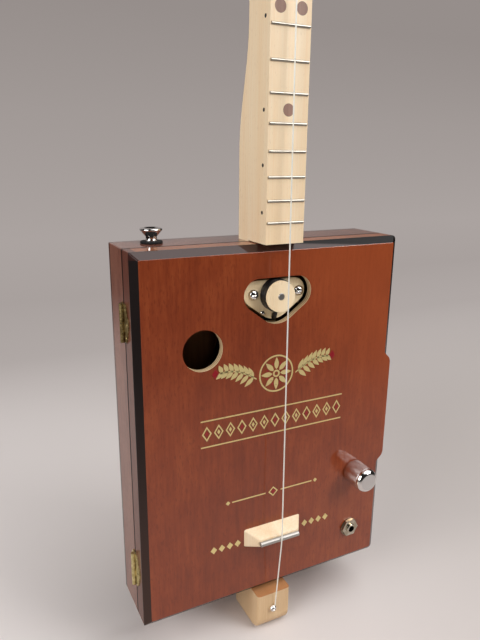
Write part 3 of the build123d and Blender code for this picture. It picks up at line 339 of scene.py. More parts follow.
def plainFinish(name, colour, rough, scale, dark, height=0.03 * mm):
    skin = Finish(name)
    fine = skin.noise(skin.place(), scale, smudge["detail"], smudge["roughness"])
    shade = skin.mix(fine, tint(dark), tint(colour))
    return skin.surface(Base_Color=shade, Roughness=rough,
                        Normal=skin.bump(fine, height, smudge["reliefStrength"]))


# The knob is polished, but for its front, which is brushed
knobShine = {"side": "e2dedb", "front": "cbc5c2", "frontDeep": 0.12, "polished": 0.05, "brushed": 0.2,
             "brush": (900, 3, 0.6), "brushShare": 0.1, "frontDull": 0.45}


def knobFinish():
    skin = Finish("knob_chrome")
    place = skin.place()
    front = skin.split(place)[1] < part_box("knob")[0].y + knobShine["frontDeep"] * mm
    brush = skin.noise(place, *knobShine["brush"]) * knobShine["brushShare"]
    colour = skin.mix(front, tint(knobShine["side"]), tint(knobShine["front"]))
    return skin.surface(Base_Color=colour, Metallic=1.0 - front * knobShine["frontDull"],
                        Roughness=knobShine["polished"] + front * (knobShine["brushed"] + brush))


# Gold leaf printed thinly, worn through a little
foilWear = {"gold": "e6d192", "under": "a8864a", "wear": (420, 4, 0.65), "from": (0.58, 0.72), "share": 0.5,
            "metallic": 0.45, "rough": 0.38}


def foilFinish():
    skin = Finish("gold_foil")
    worn = skin.noise(skin.place(), *foilWear["wear"]).smooth(*foilWear["from"])
    colour = skin.mix(worn * foilWear["share"], tint(foilWear["gold"]), tint(foilWear["under"]))
    return skin.surface(Base_Color=colour, Metallic=foilWear["metallic"], Roughness=foilWear["rough"])


finishes = {
    "lid": lidFinish(),
    "side": wallFinish("side_lacquer", "663629", "8b5746", "9c6753"),
    # the lid's rims are lit and shaded copies of one lacquer: painted light on the top, right and bottom
    # rims, painted shade on the left rim
    "rim": wallFinish("lit_rim_lacquer", "82452c", "a96a49", "b97a56", 0.7),
    "shadedLeftRim": wallFinish("shaded_left_rim_lacquer", "50281d", "6d3c2e", "7d4a39", 0.8),
    "back": wallFinish("back_lacquer", "3d2018", "5a3226", "6d4234"),
    "maple": mapleFinish("neck_maple", "f8d4a5", "ffeaca"),
    # the tail's top face: painted shade with the lid's red reflected in it
    "tail": mapleFinish("tail_maple", "cfa97c", "e6c79e", end=(tailTop - bounceDeep, "b4703c")),
    "bridgeMaple": mapleFinish("bridge_maple", "ecca9c", "fdeacd"),
    "pine": mapleFinish("inner_pine", "b08a5c", "d9ba8a", 0.0),
    # the birch plate's colour raised to make up for the panel's shadow on it: painted light
    "litPly": mapleFinish("birch_plate_painted_light", "f4d4a2", "ffedc8", 0.0),
    "disc": mapleFinish("birch_disc", "fbdcae", "ffebca", 0.0),
    "walnut": mapleFinish("dot_walnut", "7c5a4a", "a58070", 0.1),
    "chrome": metalFinish("bright_chrome", "e6e4e2", 0.04),
    "rod": metalFinish("rod_chrome", "b4b0aa", 0.4, share=0.8),
    "jack": metalFinish("jack_nickel", "dad4c6", 0.14, dark="aca18e"),
    "washer": metalFinish("washer_nickel", "a8967f", 0.24, dark="78675a"),
    "knobMetal": knobFinish(),
    "nickel": metalFinish("fret_nickel", "a8a298", 0.26),
    "steel": metalFinish("dull_steel", "a09d98", 0.32, 0.15),
    "wire": metalFinish("string_steel", "f0ece2", 0.45, share=0.2),
    "brass": metalFinish("aged_brass", "bca670", 0.3, 0.2, 400, dark="6c5832", share=0.7),
    # the lower hinge's brass, lighter: a painted reflection of the pale floor
    "floorLitBrass": metalFinish("brass_with_painted_floor_reflection", "ead8a0", 0.3, 0.2, 400, dark="b09c62", share=0.55),
    "gearBrass": metalFinish("cut_brass", "c8a860", 0.22),
    "bone": plainFinish("polished_bone", "ece2cc", 0.3, 500, "d9cbab"),
    "black": plainFinish("black_plastic", "17161a", 0.4, 900, "0c0b0d"),
    "tape": plainFinish("black_tape", "17161a", 0.34, 1400, "0c0b0e", 0.08 * mm),
    "felt": plainFinish("black_felt", "1a1a1b", 0.95, 2600, "070707", 0.3 * mm),
    "magnet": plainFinish("grey_magnet", "3a3a3d", 0.6, 900, "29292b"),
    "case": metalFinish("plated_case", "b5b2ac", 0.3, 0.1),
    "lead": plainFinish("lead_jacket", "1b1b1d", 0.35, 700, "121213"),
    "foil": foilFinish(),
    "redFoil": plainFinish("red_foil", "9c0f1e", 0.35, 500, "7d0b18"),
}
wearers = {
    "lid": ["lid_panel"],
    "side": ["tray_left_wall", "tray_right_wall", "tray_top_wall", "tray_bottom_wall"],
    "rim": ["lid_right_rim", "lid_top_rim", "lid_bottom_rim"],
    "shadedLeftRim": ["lid_left_rim"],
    "back": ["back_panel"],
    "maple": ["neck"],
    "tail": ["tail_block"],
    "bridgeMaple": ["bridge_block"],
    "pine": ["through_beam", "pickup_riser"],
    "litPly": ["pickup_plate"],
    "disc": ["pickup_disc"],
    "walnut": ["face_dots"],
    "black": ["side_dots"],
    "nickel": ["frets"],
    "chrome": ["anchor_screw", "pickup_screws", "pickup_lead_screw", "pot_nut", "pot_washer",
               "strap_buttons", "strap_screws", "tuner_plate", "tuner_screws", "tuner_bushing",
               "tuner_worm", "tuner_key", "tuner_post"],
    "rod": ["bridge_rod"],
    "jack": ["jack_body", "jack_nut"],
    "washer": ["jack_washer"],
    "knobMetal": ["knob"],
    "steel": ["pickup_pole", "pot_shaft", "knob_set_screw", "jack_springs"],
    "wire": ["string", "string_turns"],
    "brass": ["upper_hinge_tray_leaf", "upper_hinge_lid_leaf", "hinge_pins", "tray_hinge_nails",
              "lid_hinge_nails"],
    "floorLitBrass": ["lower_hinge_tray_leaf", "lower_hinge_lid_leaf"],
    "gearBrass": ["tuner_gear"],
    "bone": ["nut"],
    "tape": ["pickup_coil", "pickup_lead", "volume_lead", "jack_lead"],
    "felt": ["strap_felts"],
    "magnet": ["pickup_magnet"],
    "case": ["pot_body"],
}
for finish, names in wearers.items():
    for name in names:
        nodes[name].data.materials.clear()
        nodes[name].data.materials.append(finishes[finish])
print("materials made:", len(finishes))


# Mesh helpers
def keep(name, mesh, finish, body, slot, instead=(), smooth=30):
    mesh.materials.append(finishes[finish])
    for face in mesh.polygons:
        face.use_smooth = smooth > 0
    if smooth:
        mesh.set_sharp_from_angle(angle=math.radians(smooth))
    piece = bpy.data.objects.new(name, mesh)
    bpy.context.scene.collection.objects.link(piece)
    if body:
        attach(piece, body)
    if instead:
        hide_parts(*instead)
    return piece


def meshOf(name, corners, faces):  # a closed mesh with its faces turned outwards
    made = bmesh.new()
    spots = [made.verts.new(c) for c in corners]
    for face in faces:
        made.faces.new([spots[i] for i in face])
    bmesh.ops.recalc_face_normals(made, faces=made.faces)
    mesh = bpy.data.meshes.new(name)
    made.to_mesh(mesh)
    made.free()
    return mesh


def facing(x, z, depth=0.0):  # turns a lathe's own axis to the way the lid faces
    return lambda u, v, h: (x + u, faceY + depth - h, z + v)


def standing(x, y, z):  # the axis upwards
    return lambda u, v, h: (x + u, y + v, z + h)


def behind(x, y, z):  # the axis towards the back
    return lambda u, v, h: (x + u, y + h, z + v)


def lathe(profile, sides, place, ripple=None, ring=False):  # profile of (radius, height), ends capped
    corners, faces = [], []
    for j, (radius, height) in enumerate(profile):
        for i in range(sides):
            turn = math.tau * i / sides
            reach = radius + (ripple(turn, j) if ripple else 0)
            corners.append(place(reach * math.cos(turn), reach * math.sin(turn), height))
    rows = len(profile)
    for j in range(rows if ring else rows - 1):
        for i in range(sides):
            k, up = (i + 1) % sides, (j + 1) % rows
            faces.append((j * sides + i, j * sides + k, up * sides + k, up * sides + i))
    if not ring:
        faces += [tuple(range(sides)), tuple((rows - 1) * sides + i for i in range(sides))]
    return corners, faces


def arc(middle, radius, start, end, steps):  # points of a circle between two angles, in degrees
    turns = [math.radians(start + (end - start) * i / steps) for i in range(steps + 1)]
    return [(middle[0] + radius * math.cos(t), middle[1] + radius * math.sin(t)) for t in turns]


def sweepTube(points, radius, sides):  # a round tube along points, its section carried without twist
    points = [Vector(p) for p in points]
    corners, faces = [], []
    ahead = (points[1] - points[0]).normalized()
    side = ahead.orthogonal().normalized()
    for j, point in enumerate(points):
        before, after = points[max(j - 1, 0)], points[min(j + 1, len(points) - 1)]
        along = (after - before).normalized()
        side = (side - along * side.dot(along)).normalized()
        up = along.cross(side)
        wide = radius(j) if callable(radius) else radius
        for i in range(sides):
            turn = math.tau * i / sides
            corners.append(point + side * (wide * math.cos(turn)) + up * (wide * math.sin(turn)))
    for j in range(len(points) - 1):
        for i in range(sides):
            k = (i + 1) % sides
            faces.append((j * sides + i, j * sides + k, (j + 1) * sides + k, (j + 1) * sides + i))
    faces += [tuple(range(sides)), tuple((len(points) - 1) * sides + i for i in range(sides))]
    return corners, faces


def smoothLine(route, fineness=8):  # a NURBS line through a route's runs, as points
    line = bpy.data.curves.new("route", "CURVE")
    line.dimensions = "3D"
    spline = line.splines.new("NURBS")
    spline.points.add(len(route) - 1)
    for spot, place in zip(spline.points, route):
        spot.co = (*place, 1)
    spline.order_u = 3
    spline.use_endpoint_u = True
    spline.resolution_u = fineness
    holder = bpy.data.objects.new("route", line)
    mesh = bpy.data.meshes.new_from_object(holder)
    points = [v.co.copy() for v in mesh.vertices]
    bpy.data.objects.remove(holder)
    bpy.data.curves.remove(line)
    bpy.data.meshes.remove(mesh)
    return points


# The volume knob: straight knurls on its side, a smooth rounded front
knob = {"front": 4.4, "knurls": 60, "depth": 0.24, "perKnurl": 6, "hollow": 7.4, "hollowDeep": 3.6,
        "bore": 3.1, "rim": 0.5, "knurlStop": 1.2, "neckRise": 0.8, "neckIn": 0.25, "noseTurn": 78,
        "noseSteps": 10, "crownShare": 0.45, "crownDrop": 0.04, "centre": 0.3}


def makeKnob():
    low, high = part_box("knob")
    middle = (low + high) / 2
    radius = (high.x - low.x) / 2
    foot, top = faceY - high.y, faceY - low.y
    front, rim, neckIn = knob["front"] * mm, knob["rim"] * mm, knob["neckIn"] * mm
    shoulder = top - front
    hollow, deep = knob["hollow"] * mm, foot + knob["hollowDeep"] * mm
    side = [(radius - rim, foot), (radius, foot + rim), (radius, shoulder - knob["knurlStop"] * mm),
            (radius - neckIn, shoulder - knob["neckRise"] * mm)]
    nose = arc((radius - front - neckIn, shoulder), front, 0, knob["noseTurn"], knob["noseSteps"])
    face = [(radius * knob["crownShare"], top - knob["crownDrop"] * mm), (knob["centre"] * mm, top)]
    inside = [(knob["bore"] * mm, deep), (hollow, deep), (hollow, foot)]
    profile = inside + side + nose + face
    first, last = len(inside) + 1, len(inside) + 2

    def ripple(turn, row):
        if first <= row <= last:
            return knob["depth"] * mm * (abs(math.sin(turn * knob["knurls"] / 2)) - 1)
        return 0

    corners, faces = lathe(profile, knob["knurls"] * knob["perKnurl"], facing(middle.x, middle.z), ripple)
    mesh = meshOf("knurledKnob", corners, faces)
    keep("knurledKnob", mesh, "knobMetal", "volume_knob", "bright_nickel", ["knob"])


# The pickup coil: black tape wound round it in overlapping turns, with a lump where the tape ends
coil = {"sides": 96, "bands": 4, "bore": 3.05, "step": 0.35, "stepShare": 0.4, "gap": 0.05, "rise": 0.04,
        "fall": 0.02, "wave": 0.066, "under": 0.25, "lumpTurn": 2.2, "lumpFrom": 0.8, "lump": 0.225}


def makeCoil():
    low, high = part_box("pickup_coil")
    middle = (low + high) / 2
    thick = high.y - low.y
    radius = (high.x - low.x) / 2
    bore, step = coil["bore"] * mm, coil["step"] * mm
    profile = [(bore, 0.0)]
    for band in range(coil["bands"]):
        start, end = band / coil["bands"], (band + 1) / coil["bands"]
        profile += [(radius - step, start * thick + coil["gap"] * mm),
                    (radius, (start + coil["rise"]) * thick),
                    (radius - step * coil["stepShare"], (end - coil["fall"]) * thick)]
    profile += [(bore, thick)]

    def ripple(turn, row):
        if row in (0, len(profile) - 1):
            return 0
        waves = coil["wave"] * (math.sin(3 * turn + row) + 0.6 * math.sin(7 * turn - 2 * row))
        near = max(0.0, math.cos(turn - coil["lumpTurn"]) - coil["lumpFrom"]) / (1 - coil["lumpFrom"])
        return (waves - coil["under"] + coil["lump"] * near) * mm

    place = facing(middle.x, middle.z, high.y - faceY)
    corners, faces = lathe(profile, coil["sides"], place, ripple, ring=True)
    mesh = meshOf("tapedCoil", corners, faces)
    keep("tapedCoil", mesh, "tape", "frame", "black_tape", ["pickup_coil"])


# Leads, in the routes that the box holds them in; the pickup's is wound with black tape.
# A route's points are across, in from the lid's face, and up, in millimetres.
leads = {"radius": 1.7, "thin": 0.85, "lap": 6, "ridge": 0.14, "fine": 8, "tapedFine": 16, "sides": 16}
pickupRoute = [(0, 4.3, 316.9), (0, 4.5, 311.6), (0, 11.5, 308.6), (-7, 18, 308), (-18, 22, 306),
               (-22, 34, 302), (-26, 47, 296), (-30, 52, 286), (-34, 53, 270)]
harnessRoute = [(-34, 53, 270), (-37.6, 53.9, 255.6), (-62, 53.5, 238), (-90, 52, 230), (-107, 44, 226),
                (-112, 30, 224), (-107, 16, 221), (-92, 10.5, 214), (-62, 10, 202), (-24, 10, 188),
                (16, 10, 174), (50, 10, 161), (68, 9.6, 150), (77, 9.6, 146)]
jackRoute = [(85.5, 8.4, 126.5), (84, 13, 118), (85, 18, 107), (86.4, 18.4, 97), (89.2, 15.6, 89)]
hingeSpan = [(-100, 47, 228), (-100, 13, 218)]  # the span across the hinge, computed but not used to bend the harness


def leadRoute(spots):
    return [Vector((x * mm, faceY + depth * mm, z * mm)) for x, depth, z in spots]


def makeLead(name, route, radius, node, taped=False):
    points = smoothLine(leadRoute(route), leads["tapedFine"] if taped else leads["fine"])

    def wide(j):
        lapped = j % leads["lap"] / leads["lap"] if taped else 0
        return (radius + leads["ridge"] * lapped) * mm

    corners, faces = sweepTube(points, wide, leads["sides"])
    return keep(name, meshOf(name, corners, faces), "tape" if taped else "lead", None, "black_lead", [node])


def makeLeads():
    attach(makeLead("tapedPickupLead", pickupRoute, leads["radius"], "pickup_lead", taped=True), "frame")
    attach(makeLead("jackLeadPair", jackRoute, leads["thin"], "jack_lead"), "lid")
    harness = makeLead("volumeLeadRun", harnessRoute, leads["radius"], "volume_lead")
    start, end = leadRoute(hingeSpan)
    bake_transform(harness)
    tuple(start)
    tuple(end)


# The string: a loop on the anchor screw, over the rod and the nut, and turns on the tuner's post
wire = {"radius": 0.6, "sides": 16, "clear": 0.05, "anchorRadius": 1.5, "loopTurn": 290, "loopSteps": 24,
        "tailProud": 1.2, "riseAt": (0.2, 0.5, 0.8, 0.93),
        "beforeRod": (0.35, -1.2), "afterRod": (0.02, 1.2),  # in from the top of the rod, and up
        "runAt": (0.01, 0.1, 0.25, 0.4, 0.55, 0.7, 0.85, 1), "nutProud": 10.3, "postRadius": 3.0,
        "postProud": 4.0, "turns": 2.25, "perTurn": 32, "slopeAt": (0.001, 0.3, 0.6, 0.9, 0.99)}


def between(start, end, shares):
    return [start + (end - start) * t for t in shares]


def makeString():
    rodLow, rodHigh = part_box("bridge_rod")
    screwLow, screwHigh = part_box("anchor_screw")
    screw = (screwLow + screwHigh) / 2
    rod = (rodLow + rodHigh) / 2
    loop = (wire["anchorRadius"] + wire["radius"] + wire["clear"]) * mm
    lift = (rodHigh.y - rodLow.y) / 2 + (wire["radius"] + wire["clear"]) * mm
    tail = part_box("tail_block")[0].y - wire["tailProud"] * mm
    nutPoint = Vector((0, faceY - wire["nutProud"] * mm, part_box("string")[1].z))
    over = Vector((screw.x + loop, rod.y - lift, rod.z))
    points = []
    for i in range(wire["loopSteps"] + 1):
        turn = math.radians(wire["loopTurn"] * (i / wire["loopSteps"] - 1))
        points.append(Vector((screw.x + loop * math.cos(turn), tail, screw.z + loop * math.sin(turn))))
    points += between(Vector((screw.x + loop, tail, screw.z)), over, wire["riseAt"])
    (inBefore, upBefore), (inAfter, upAfter) = wire["beforeRod"], wire["afterRod"]
    points += [over + Vector((0, inBefore, upBefore)) * mm, over, over + Vector((0, inAfter, upAfter)) * mm]
    points += between(over, nutPoint, wire["runAt"])
    mesh = meshOf("steelString", *sweepTube(points, wire["radius"] * mm, wire["sides"]))
    piece = keep("steelString", mesh, "wire", "frame", "string_steel", ["string"])
    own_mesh(piece)
    return nutPoint


def makeTurns(nutPoint):
    low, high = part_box("tuner_post")
    middle = (low + high) / 2
    reach = (wire["postRadius"] + wire["radius"] + wire["clear"]) * mm
    start = Vector((middle.x + reach, faceY - wire["postProud"] * mm, middle.z))
    rise = (start.y - nutPoint.y) / (start.z - nutPoint.z) * reach
    points = between(nutPoint, start, wire["slopeAt"])
    steps = round(wire["turns"] * wire["perTurn"])
    for i in range(1, steps + 1):
        turn = math.tau * wire["turns"] * i / steps
        points.append(Vector((middle.x + reach * math.cos(turn), start.y + rise * turn,
                              middle.z + reach * math.sin(turn))))
    mesh = meshOf("stringTurns", *sweepTube(points, wire["radius"] * mm, wire["sides"]))
    keep("stringTurns", mesh, "wire", "frame", "string_steel", ["string_turns"])


# Felt washers under the strap buttons: the rim is how far in, then the share of the thickness
felt = {"radius": 9.2, "bore": 1.85, "thick": 2.0, "sides": 96, "fuzz": 0.12, "fuzzTurns": 31,
        "fuzzShift": 2.1, "rim": [(0.7, 0), (0.15, 0.2), (0, 0.5), (0.2, 0.82), (0.8, 0.98)], "flat": 0.6,
        "topSeat": (-95, 43.5, 375), "tailSeat": (0, 42, 12)}  # across, in from the lid's face, and up


def makeFelts():
    radius, bore, thick = (felt[k] * mm for k in ("radius", "bore", "thick"))
    profile = [(bore, 0)] + [(radius - inset * mm, thick * share) for inset, share in felt["rim"]]
    profile += [(radius * felt["flat"], thick), (bore, thick)]

    def fuzz(turn, row):
        if row in (0, len(profile) - 1):
            return 0
        return felt["fuzz"] * mm * math.sin(turn * felt["fuzzTurns"] + row * felt["fuzzShift"])

    corners, faces = [], []
    for stand, seat in ((standing, "topSeat"), (behind, "tailSeat")):
        x, depth, z = felt[seat]
        place = stand(x * mm, faceY + depth * mm, z * mm)
        spots, rings = lathe(profile, felt["sides"], place, fuzz, ring=True)
        offset = len(corners)
        corners += spots
        faces += [tuple(i + offset for i in ring) for ring in rings]
    keep("feltWashers", meshOf("feltWashers", corners, faces), "felt", "frame", "felt", ["strap_felts"])


# Gold ornament on the lid: a rosette between two leafy sprays, a chain of lozenges and a diamond rule
ornament = {"thick": 0.12, "sunk": 0.05, "rosette": (0, 262), "petals": 8, "ringOuter": 17.0,
            "ringInner": 15.6, "ringSides": 64, "petalFrom": 4.0, "petalLong": 11.0, "petalWide": 4.4,
            "bead": (3.4, 1.8), "beadSides": 32, "gem": (9.8, 2.6), "stemFrom": 19.5, "stemLong": 34.0,
            "stemRise": 11.0, "stemDrop": 2, "stemBend": 1.9, "stemHalf": 0.7, "stemSteps": 12, "leaves": 7,
            "leafAt": 0.6, "leafLong": 11.5, "leafWide": 4.0, "leafLean": 12, "leafSpread": 52,
            "leafShrink": 0.35, "tip": (58, 6.2, 9.4), "chain": (0, 218), "chainHalf": 66, "chainStep": 11,
            "redEvery": 3, "link": (9.0, 14.0), "linkHole": (6.2, 9.8), "linkCore": (3.0, 4.8),
            "railAway": 12.0, "railHalf": 0.6, "rule": (0, 146), "ruleHalf": 42, "ruleGap": 8.0,
            "ruleEnd": (4, 4.4), "diamond": 10.0, "diamondHole": 7.0, "diamondCore": 4.6, "beside": 101.5,
            "besideFrom": 36, "besideStep": 8.0, "besideCount": 4, "besideSize": (6.4, 7.4)}


def foilPart(made, loop, hole=None):  # a flat raised shape, from points across and up the lid in mm
    depths = faceY - ornament["thick"] * mm, faceY + ornament["sunk"] * mm
    rows = [[[made.verts.new((x * mm, y, z * mm)) for x, z in spots] for y in depths]
            for spots in (loop, hole) if spots]
    if hole:
        rows.append([rows[0][0], rows[1][0]])  # the front between its outline and its hole
    for near, far in rows:
        for i in range(len(near)):
            k = (i + 1) % len(near)
            made.faces.new((near[i], near[k], far[k], far[i]))
    if not hole:
        made.faces.new(rows[0][0])


def leafLoop(x, z, turn, long, wide, steps=8):  # a pointed leaf from its stem at x, z, widest towards it
    shares = [i / steps for i in range(steps + 1)]
    upper = [(long * t, wide / 2 * math.sin(math.pi * t ** 0.8)) for t in shares]
    spots = upper + [(u, -v) for u, v in upper[-2:0:-1]]
    c, s = math.cos(turn), math.sin(turn)
    return [(x + u * c - v * s, z + u * s + v * c) for u, v in spots]


def ringLoops(x, z, outer, inner, steps):
    turns = [math.tau * i / steps for i in range(steps)]
    return [[(x + r * math.cos(t), z + r * math.sin(t)) for t in turns] for r in (outer, inner)]


def lozenge(x, z, wide, tall):
    return [(x - wide / 2, z), (x, z - tall / 2), (x + wide / 2, z), (x, z + tall / 2)]


def stemHeight(share):
    rise = ornament["stemRise"] * math.sin(share * ornament["stemBend"])
    return ornament["rosette"][1] - ornament["stemDrop"] + rise


def makeRosette(gold, red):
    cx, cz = ornament["rosette"]
    foilPart(gold, *ringLoops(cx, cz, ornament["ringOuter"], ornament["ringInner"], ornament["ringSides"]))
    foilPart(gold, *ringLoops(cx, cz, *ornament["bead"], ornament["beadSides"]))
    for i in range(ornament["petals"]):
        turn = math.tau * i / ornament["petals"]
        start = ornament["petalFrom"]
        foilPart(gold, leafLoop(cx + start * math.cos(turn), cz + start * math.sin(turn), turn,
                                ornament["petalLong"], ornament["petalWide"]))
        halfway = turn + math.pi / ornament["petals"]
        away, size = ornament["gem"]
        foilPart(red, lozenge(cx + away * math.cos(halfway), cz + away * math.sin(halfway), size, size))


def makeSpray(gold, red, side):
    cx = ornament["rosette"][0]
    start, long, half = ornament["stemFrom"], ornament["stemLong"], ornament["stemHalf"]
    shares = [i / ornament["stemSteps"] for i in range(ornament["stemSteps"] + 1)]
    stem = [(cx + side * (start + long * t), stemHeight(t)) for t in shares]
    foilPart(gold, [(x, z + half) for x, z in stem] + [(x, z - half) for x, z in stem[::-1]])
    for i in range(ornament["leaves"]):
        t = (i + ornament["leafAt"]) / ornament["leaves"]
        leafLong = ornament["leafLong"] * (1 - ornament["leafShrink"] * t)
        for up in (1, -1):
            turn = math.radians(ornament["leafSpread"] * up + ornament["leafLean"])
            heading = turn if side > 0 else math.pi - turn
            foilPart(gold, leafLoop(cx + side * (start + long * t), stemHeight(t), heading, leafLong,
                                    ornament["leafWide"]))
    away, wide, tall = ornament["tip"]
    foilPart(red, lozenge(cx + side * away, stemHeight(1), wide, tall))


def bar(x0, x1, z, half):
    return [(x0, z - half), (x1, z - half), (x1, z + half), (x0, z + half)]


def makeChain(gold, red):
    cx, cz = ornament["chain"]
    half, step = ornament["chainHalf"], ornament["chainStep"]
    for i in range(round(2 * half / step) + 1):
        x = cx - half + i * step
        foilPart(gold, lozenge(x, cz, *ornament["link"]), lozenge(x, cz, *ornament["linkHole"]))
        foilPart(gold if i % ornament["redEvery"] else red, lozenge(x, cz, *ornament["linkCore"]))
    for side in (-1, 1):
        foilPart(gold, bar(cx - half - step / 2, cx + half + step / 2, cz + side * ornament["railAway"],
                           ornament["railHalf"]))


def makeRule(gold, red):  # the diamond with a line to each side, and the lozenges beside the bridge
    rx, rz = ornament["rule"]
    endAway, endSize = ornament["ruleEnd"]
    for side in (-1, 1):
        ends = sorted((rx + side * ornament["ruleGap"], rx + side * ornament["ruleHalf"]))
        foilPart(gold, bar(*ends, rz, ornament["railHalf"]))
        foilPart(gold, lozenge(rx + side * (ornament["ruleHalf"] + endAway), rz, endSize, endSize))
        for i in range(ornament["besideCount"]):
            x = side * (ornament["besideFrom"] + i * ornament["besideStep"])
            foilPart(gold, lozenge(x, ornament["beside"], *ornament["besideSize"]))
    sizes = (ornament[k] for k in ("diamond", "diamondHole", "diamondCore"))
    whole, hole, core = (lozenge(rx, rz, size, size) for size in sizes)
    foilPart(gold, whole, hole)
    foilPart(red, core)


def makeOrnament():
    gold, red = bmesh.new(), bmesh.new()
    makeRosette(gold, red)
    for side in (-1, 1):
        makeSpray(gold, red, side)
    makeChain(gold, red)
    makeRule(gold, red)
    for name, made, finish, slot in (("goldOrnament", gold, "foil", "brass"),
                                     ("redInlay", red, "redFoil", "lid_mahogany")):
        bmesh.ops.recalc_face_normals(made, faces=made.faces)
        mesh = bpy.data.meshes.new(name)
        made.to_mesh(mesh)
        made.free()
        keep(name, mesh, finish, "lid", slot, smooth=0)


# The bridge: its edges eased, a groove for the rod
bridge = {"base": (59.0, 18.0), "top": (41.0, 7.5), "proud": 14.0, "fromBase": 9.0, "fromTop": 3.0,
          "ease": 1.6, "easeSteps": 5, "clear": 0.03, "grooveHalf": 40, "grooveSides": 48, "sharp": 40}


def makeBridge():
    rodLow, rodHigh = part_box("bridge_rod")
    rod = (rodLow + rodHigh) / 2
    rodRadius = (rodHigh.y - rodLow.y) / 2 + bridge["clear"] * mm
    foot = (*bridge["base"], rod.z - bridge["fromBase"] * mm, faceY)
    top = (*bridge["top"], rod.z - bridge["fromTop"] * mm, faceY - bridge["proud"] * mm)
    corners = []
    for wide, tall, z, y in (foot, top):
        w, t = wide * mm / 2, tall * mm
        corners += [(-w, y, z), (w, y, z), (w, y, z + t), (-w, y, z + t)]
    faces = [(0, 1, 2, 3), (4, 5, 6, 7), (0, 1, 5, 4), (1, 2, 6, 5), (2, 3, 7, 6), (3, 0, 4, 7)]
    mesh = meshOf("mapleBridge", corners, faces)
    made = bmesh.new()
    made.from_mesh(mesh)
    eased = [e for e in made.edges if not all(abs(v.co.y - faceY) < 1e-6 for v in e.verts)]
    bmesh.ops.bevel(made, geom=eased, offset=bridge["ease"] * mm, segments=bridge["easeSteps"], profile=0.5,
                    affect="EDGES")
    made.to_mesh(mesh)
    made.free()
    piece = keep("mapleBridge", mesh, "bridgeMaple", None, "bridge_maple", ["bridge_block"])
    half = bridge["grooveHalf"] * mm
    rodShape = lathe([(rodRadius, -half), (rodRadius, half)], bridge["grooveSides"],
                     lambda u, v, h: (h, rod.y + u, rod.z + v))
    groove = bpy.data.objects.new("groove", meshOf("groove", *rodShape))
    bpy.context.scene.collection.objects.link(groove)
    cut = piece.modifiers.new("groove", "BOOLEAN")
    cut.object = groove
    cut.solver = "EXACT"
    bpy.context.view_layer.update()
    ready = bpy.data.meshes.new_from_object(piece.evaluated_get(bpy.context.evaluated_depsgraph_get()))
    piece.modifiers.clear()
    piece.data = ready
    ready.set_sharp_from_angle(angle=math.radians(bridge["sharp"]))
    bpy.data.objects.remove(groove)
    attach(piece, "lid")


makeKnob()
makeCoil()
makeLeads()
makeTurns(makeString())
makeFelts()
makeOrnament()
makeBridge()
print("pieces made")

# The camera stands left of the guitar and above it, as the photograph's did
view = {"place": (-0.2422, -0.4343, 0.4442), "yaw": 26.62, "pitch": 15.74, "roll": -0.53, "focal": 584.5,
        "tall": 640, "film": 36, "clip": 0.01}


def makeCamera():
    yaw, pitch, roll = (math.radians(view[k]) for k in ("yaw", "pitch", "roll"))
    ahead = Vector((math.sin(yaw) * math.cos(pitch), math.cos(yaw) * math.cos(pitch), -math.sin(pitch)))
    side = Vector((math.cos(yaw), -math.sin(yaw), 0))
    down = ahead.cross(side)
    right = side * math.cos(roll) + down * math.sin(roll)
    up = side * math.sin(roll) - down * math.cos(roll)
    camera = bpy.data.objects.new("camera", bpy.data.cameras.new("camera"))
    bpy.context.scene.collection.objects.link(camera)
    turned = Matrix((right, up, -ahead)).transposed().to_4x4()
    camera.matrix_world = Matrix.Translation(Vector(view["place"])) @ turned
    camera.data.sensor_width = view["film"]
    camera.data.lens = view["focal"] / view["tall"] * view["film"]
    camera.data.clip_start = view["clip"]
    bpy.context.scene.camera = camera


makeCamera()
print("camera placed")

# Studio: a pale floor that sweeps up behind, three soft lamps and a dim room.
# The camera sees its near part paler and its far part as an even backdrop. The lit colours light the object.
studio = {"half": 4.0, "front": -3.0, "bend": 1.5, "radius": 1.2, "high": 3.5, "steps": 24,
          "litFrom": (0, 0.4), "litReach": 2.5,
          "litFade": [(0.0, "c8c0bc"), (0.24, "c8c0bc"), (0.46, "6b6765"), (0.58, "4c4a49"), (1.0, "242323")],
          "litWall": "e4dcd9", "wallFrom": (0.25, 0.6), "nearLeft": "f6eeeb", "nearRight": "c0b8b4",
          "nearAcross": (-0.6, 0.5), "glowFrom": (0.2, 0.95), "sweep": 4.0,
          "glow": [(0.1, "c9c1be"), (0.22, "afa7a4"), (0.36, "a8a09d"), (0.53, "aba3a0"), (0.8, "a19996"),
                   (0.97, "968e8b")]}
lamps = {"overhead": {"place": (0.9, -0.65, 2.0), "size": 2.4, "power": 46},
         "key": {"place": (1.3, -1.6, 1.3), "size": 1.0, "power": 19},
         "left": {"place": (-1.8, -0.6, 1.0), "size": 1.4, "power": 30}}
lampAim = (0, 0, 0.3)
room = {"light": "2b2928", "seen": "9e9997"}


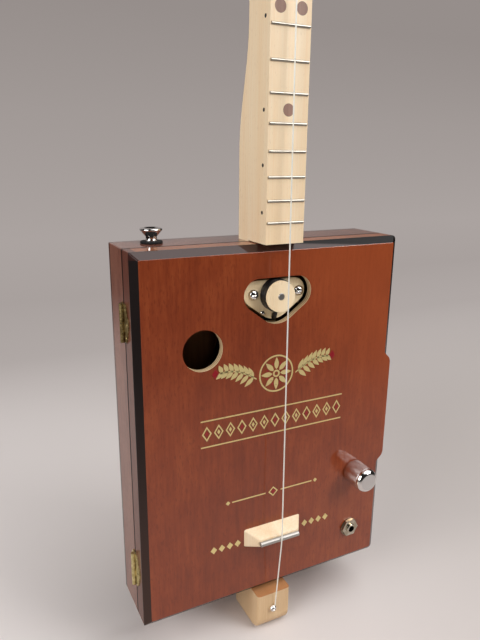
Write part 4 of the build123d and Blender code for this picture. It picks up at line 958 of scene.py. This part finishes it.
def makeStage():
    profile = [(studio["front"], 0.0), (studio["bend"], 0.0)]
    for i in range(1, studio["steps"] + 1):
        turn = math.pi / 2 * i / studio["steps"]
        rise = studio["radius"] * (1 - math.cos(turn))
        profile.append((studio["bend"] + studio["radius"] * math.sin(turn), rise))
    profile.append((studio["bend"] + studio["radius"], studio["high"]))
    corners, faces = [], []
    for y, z in profile:
        corners += [(-studio["half"], y, z), (studio["half"], y, z)]
    for i in range(len(profile) - 1):
        faces.append((2 * i, 2 * i + 1, 2 * i + 3, 2 * i + 2))
    mesh = bpy.data.meshes.new("floor")
    mesh.from_pydata(corners, [], faces)
    for face in mesh.polygons:
        face.use_smooth = True
    floor = bpy.data.objects.new("floor", mesh)
    bpy.context.scene.collection.objects.link(floor)
    paper = Finish("paper")
    x, y, z = paper.split(paper.place())
    middleX, middleY = studio["litFrom"]
    away = ((x - middleX) ** 2 + (y - middleY) ** 2 + z ** 2) ** 0.5
    lit = paper.ramp(away / studio["litReach"], studio["litFade"])
    lit = paper.mix(z.smooth(*studio["wallFrom"]), lit, tint(studio["litWall"]))
    seen = paper.mix(x.smooth(*studio["nearAcross"]), tint(studio["nearLeft"]), tint(studio["nearRight"]))
    rays = paper.node("ShaderNodeLightPath", output="Is Camera Ray")
    skin = paper.node("ShaderNodeBsdfDiffuse", values={0: paper.mix(rays, lit, seen)})
    along = y + z
    glow = paper.node("ShaderNodeEmission", values={0: paper.ramp(along / studio["sweep"], studio["glow"])})
    far = rays * along.smooth(*studio["glowFrom"])
    both = paper.node("ShaderNodeMixShader", values={0: far, 1: skin, 2: glow})
    paper.node("ShaderNodeOutputMaterial", values={0: both})
    mesh.materials.append(paper.owner)


def makeLamps():
    for name, lamp in lamps.items():
        data = bpy.data.lights.new(name, "AREA")
        data.size = lamp["size"]
        data.energy = lamp["power"]
        made = bpy.data.objects.new(name, data)
        bpy.context.scene.collection.objects.link(made)
        made.location = lamp["place"]
        aim = Vector(lampAim) - Vector(lamp["place"])
        made.rotation_euler = aim.to_track_quat("-Z", "Y").to_euler()


def makeWorld():
    world = bpy.data.worlds.new("room")
    bpy.context.scene.world = world
    air = Finish("room", world)
    rays = air.node("ShaderNodeLightPath", output="Is Camera Ray")
    colour = air.mix(rays, tint(room["light"]), tint(room["seen"]))
    shader = air.node("ShaderNodeBackground", values={0: colour, 1: 1.0})
    air.node("ShaderNodeOutputWorld", values={0: shader})


makeStage()
makeLamps()
makeWorld()
bpy.context.scene.view_settings.view_transform = "Standard"
print("studio made")
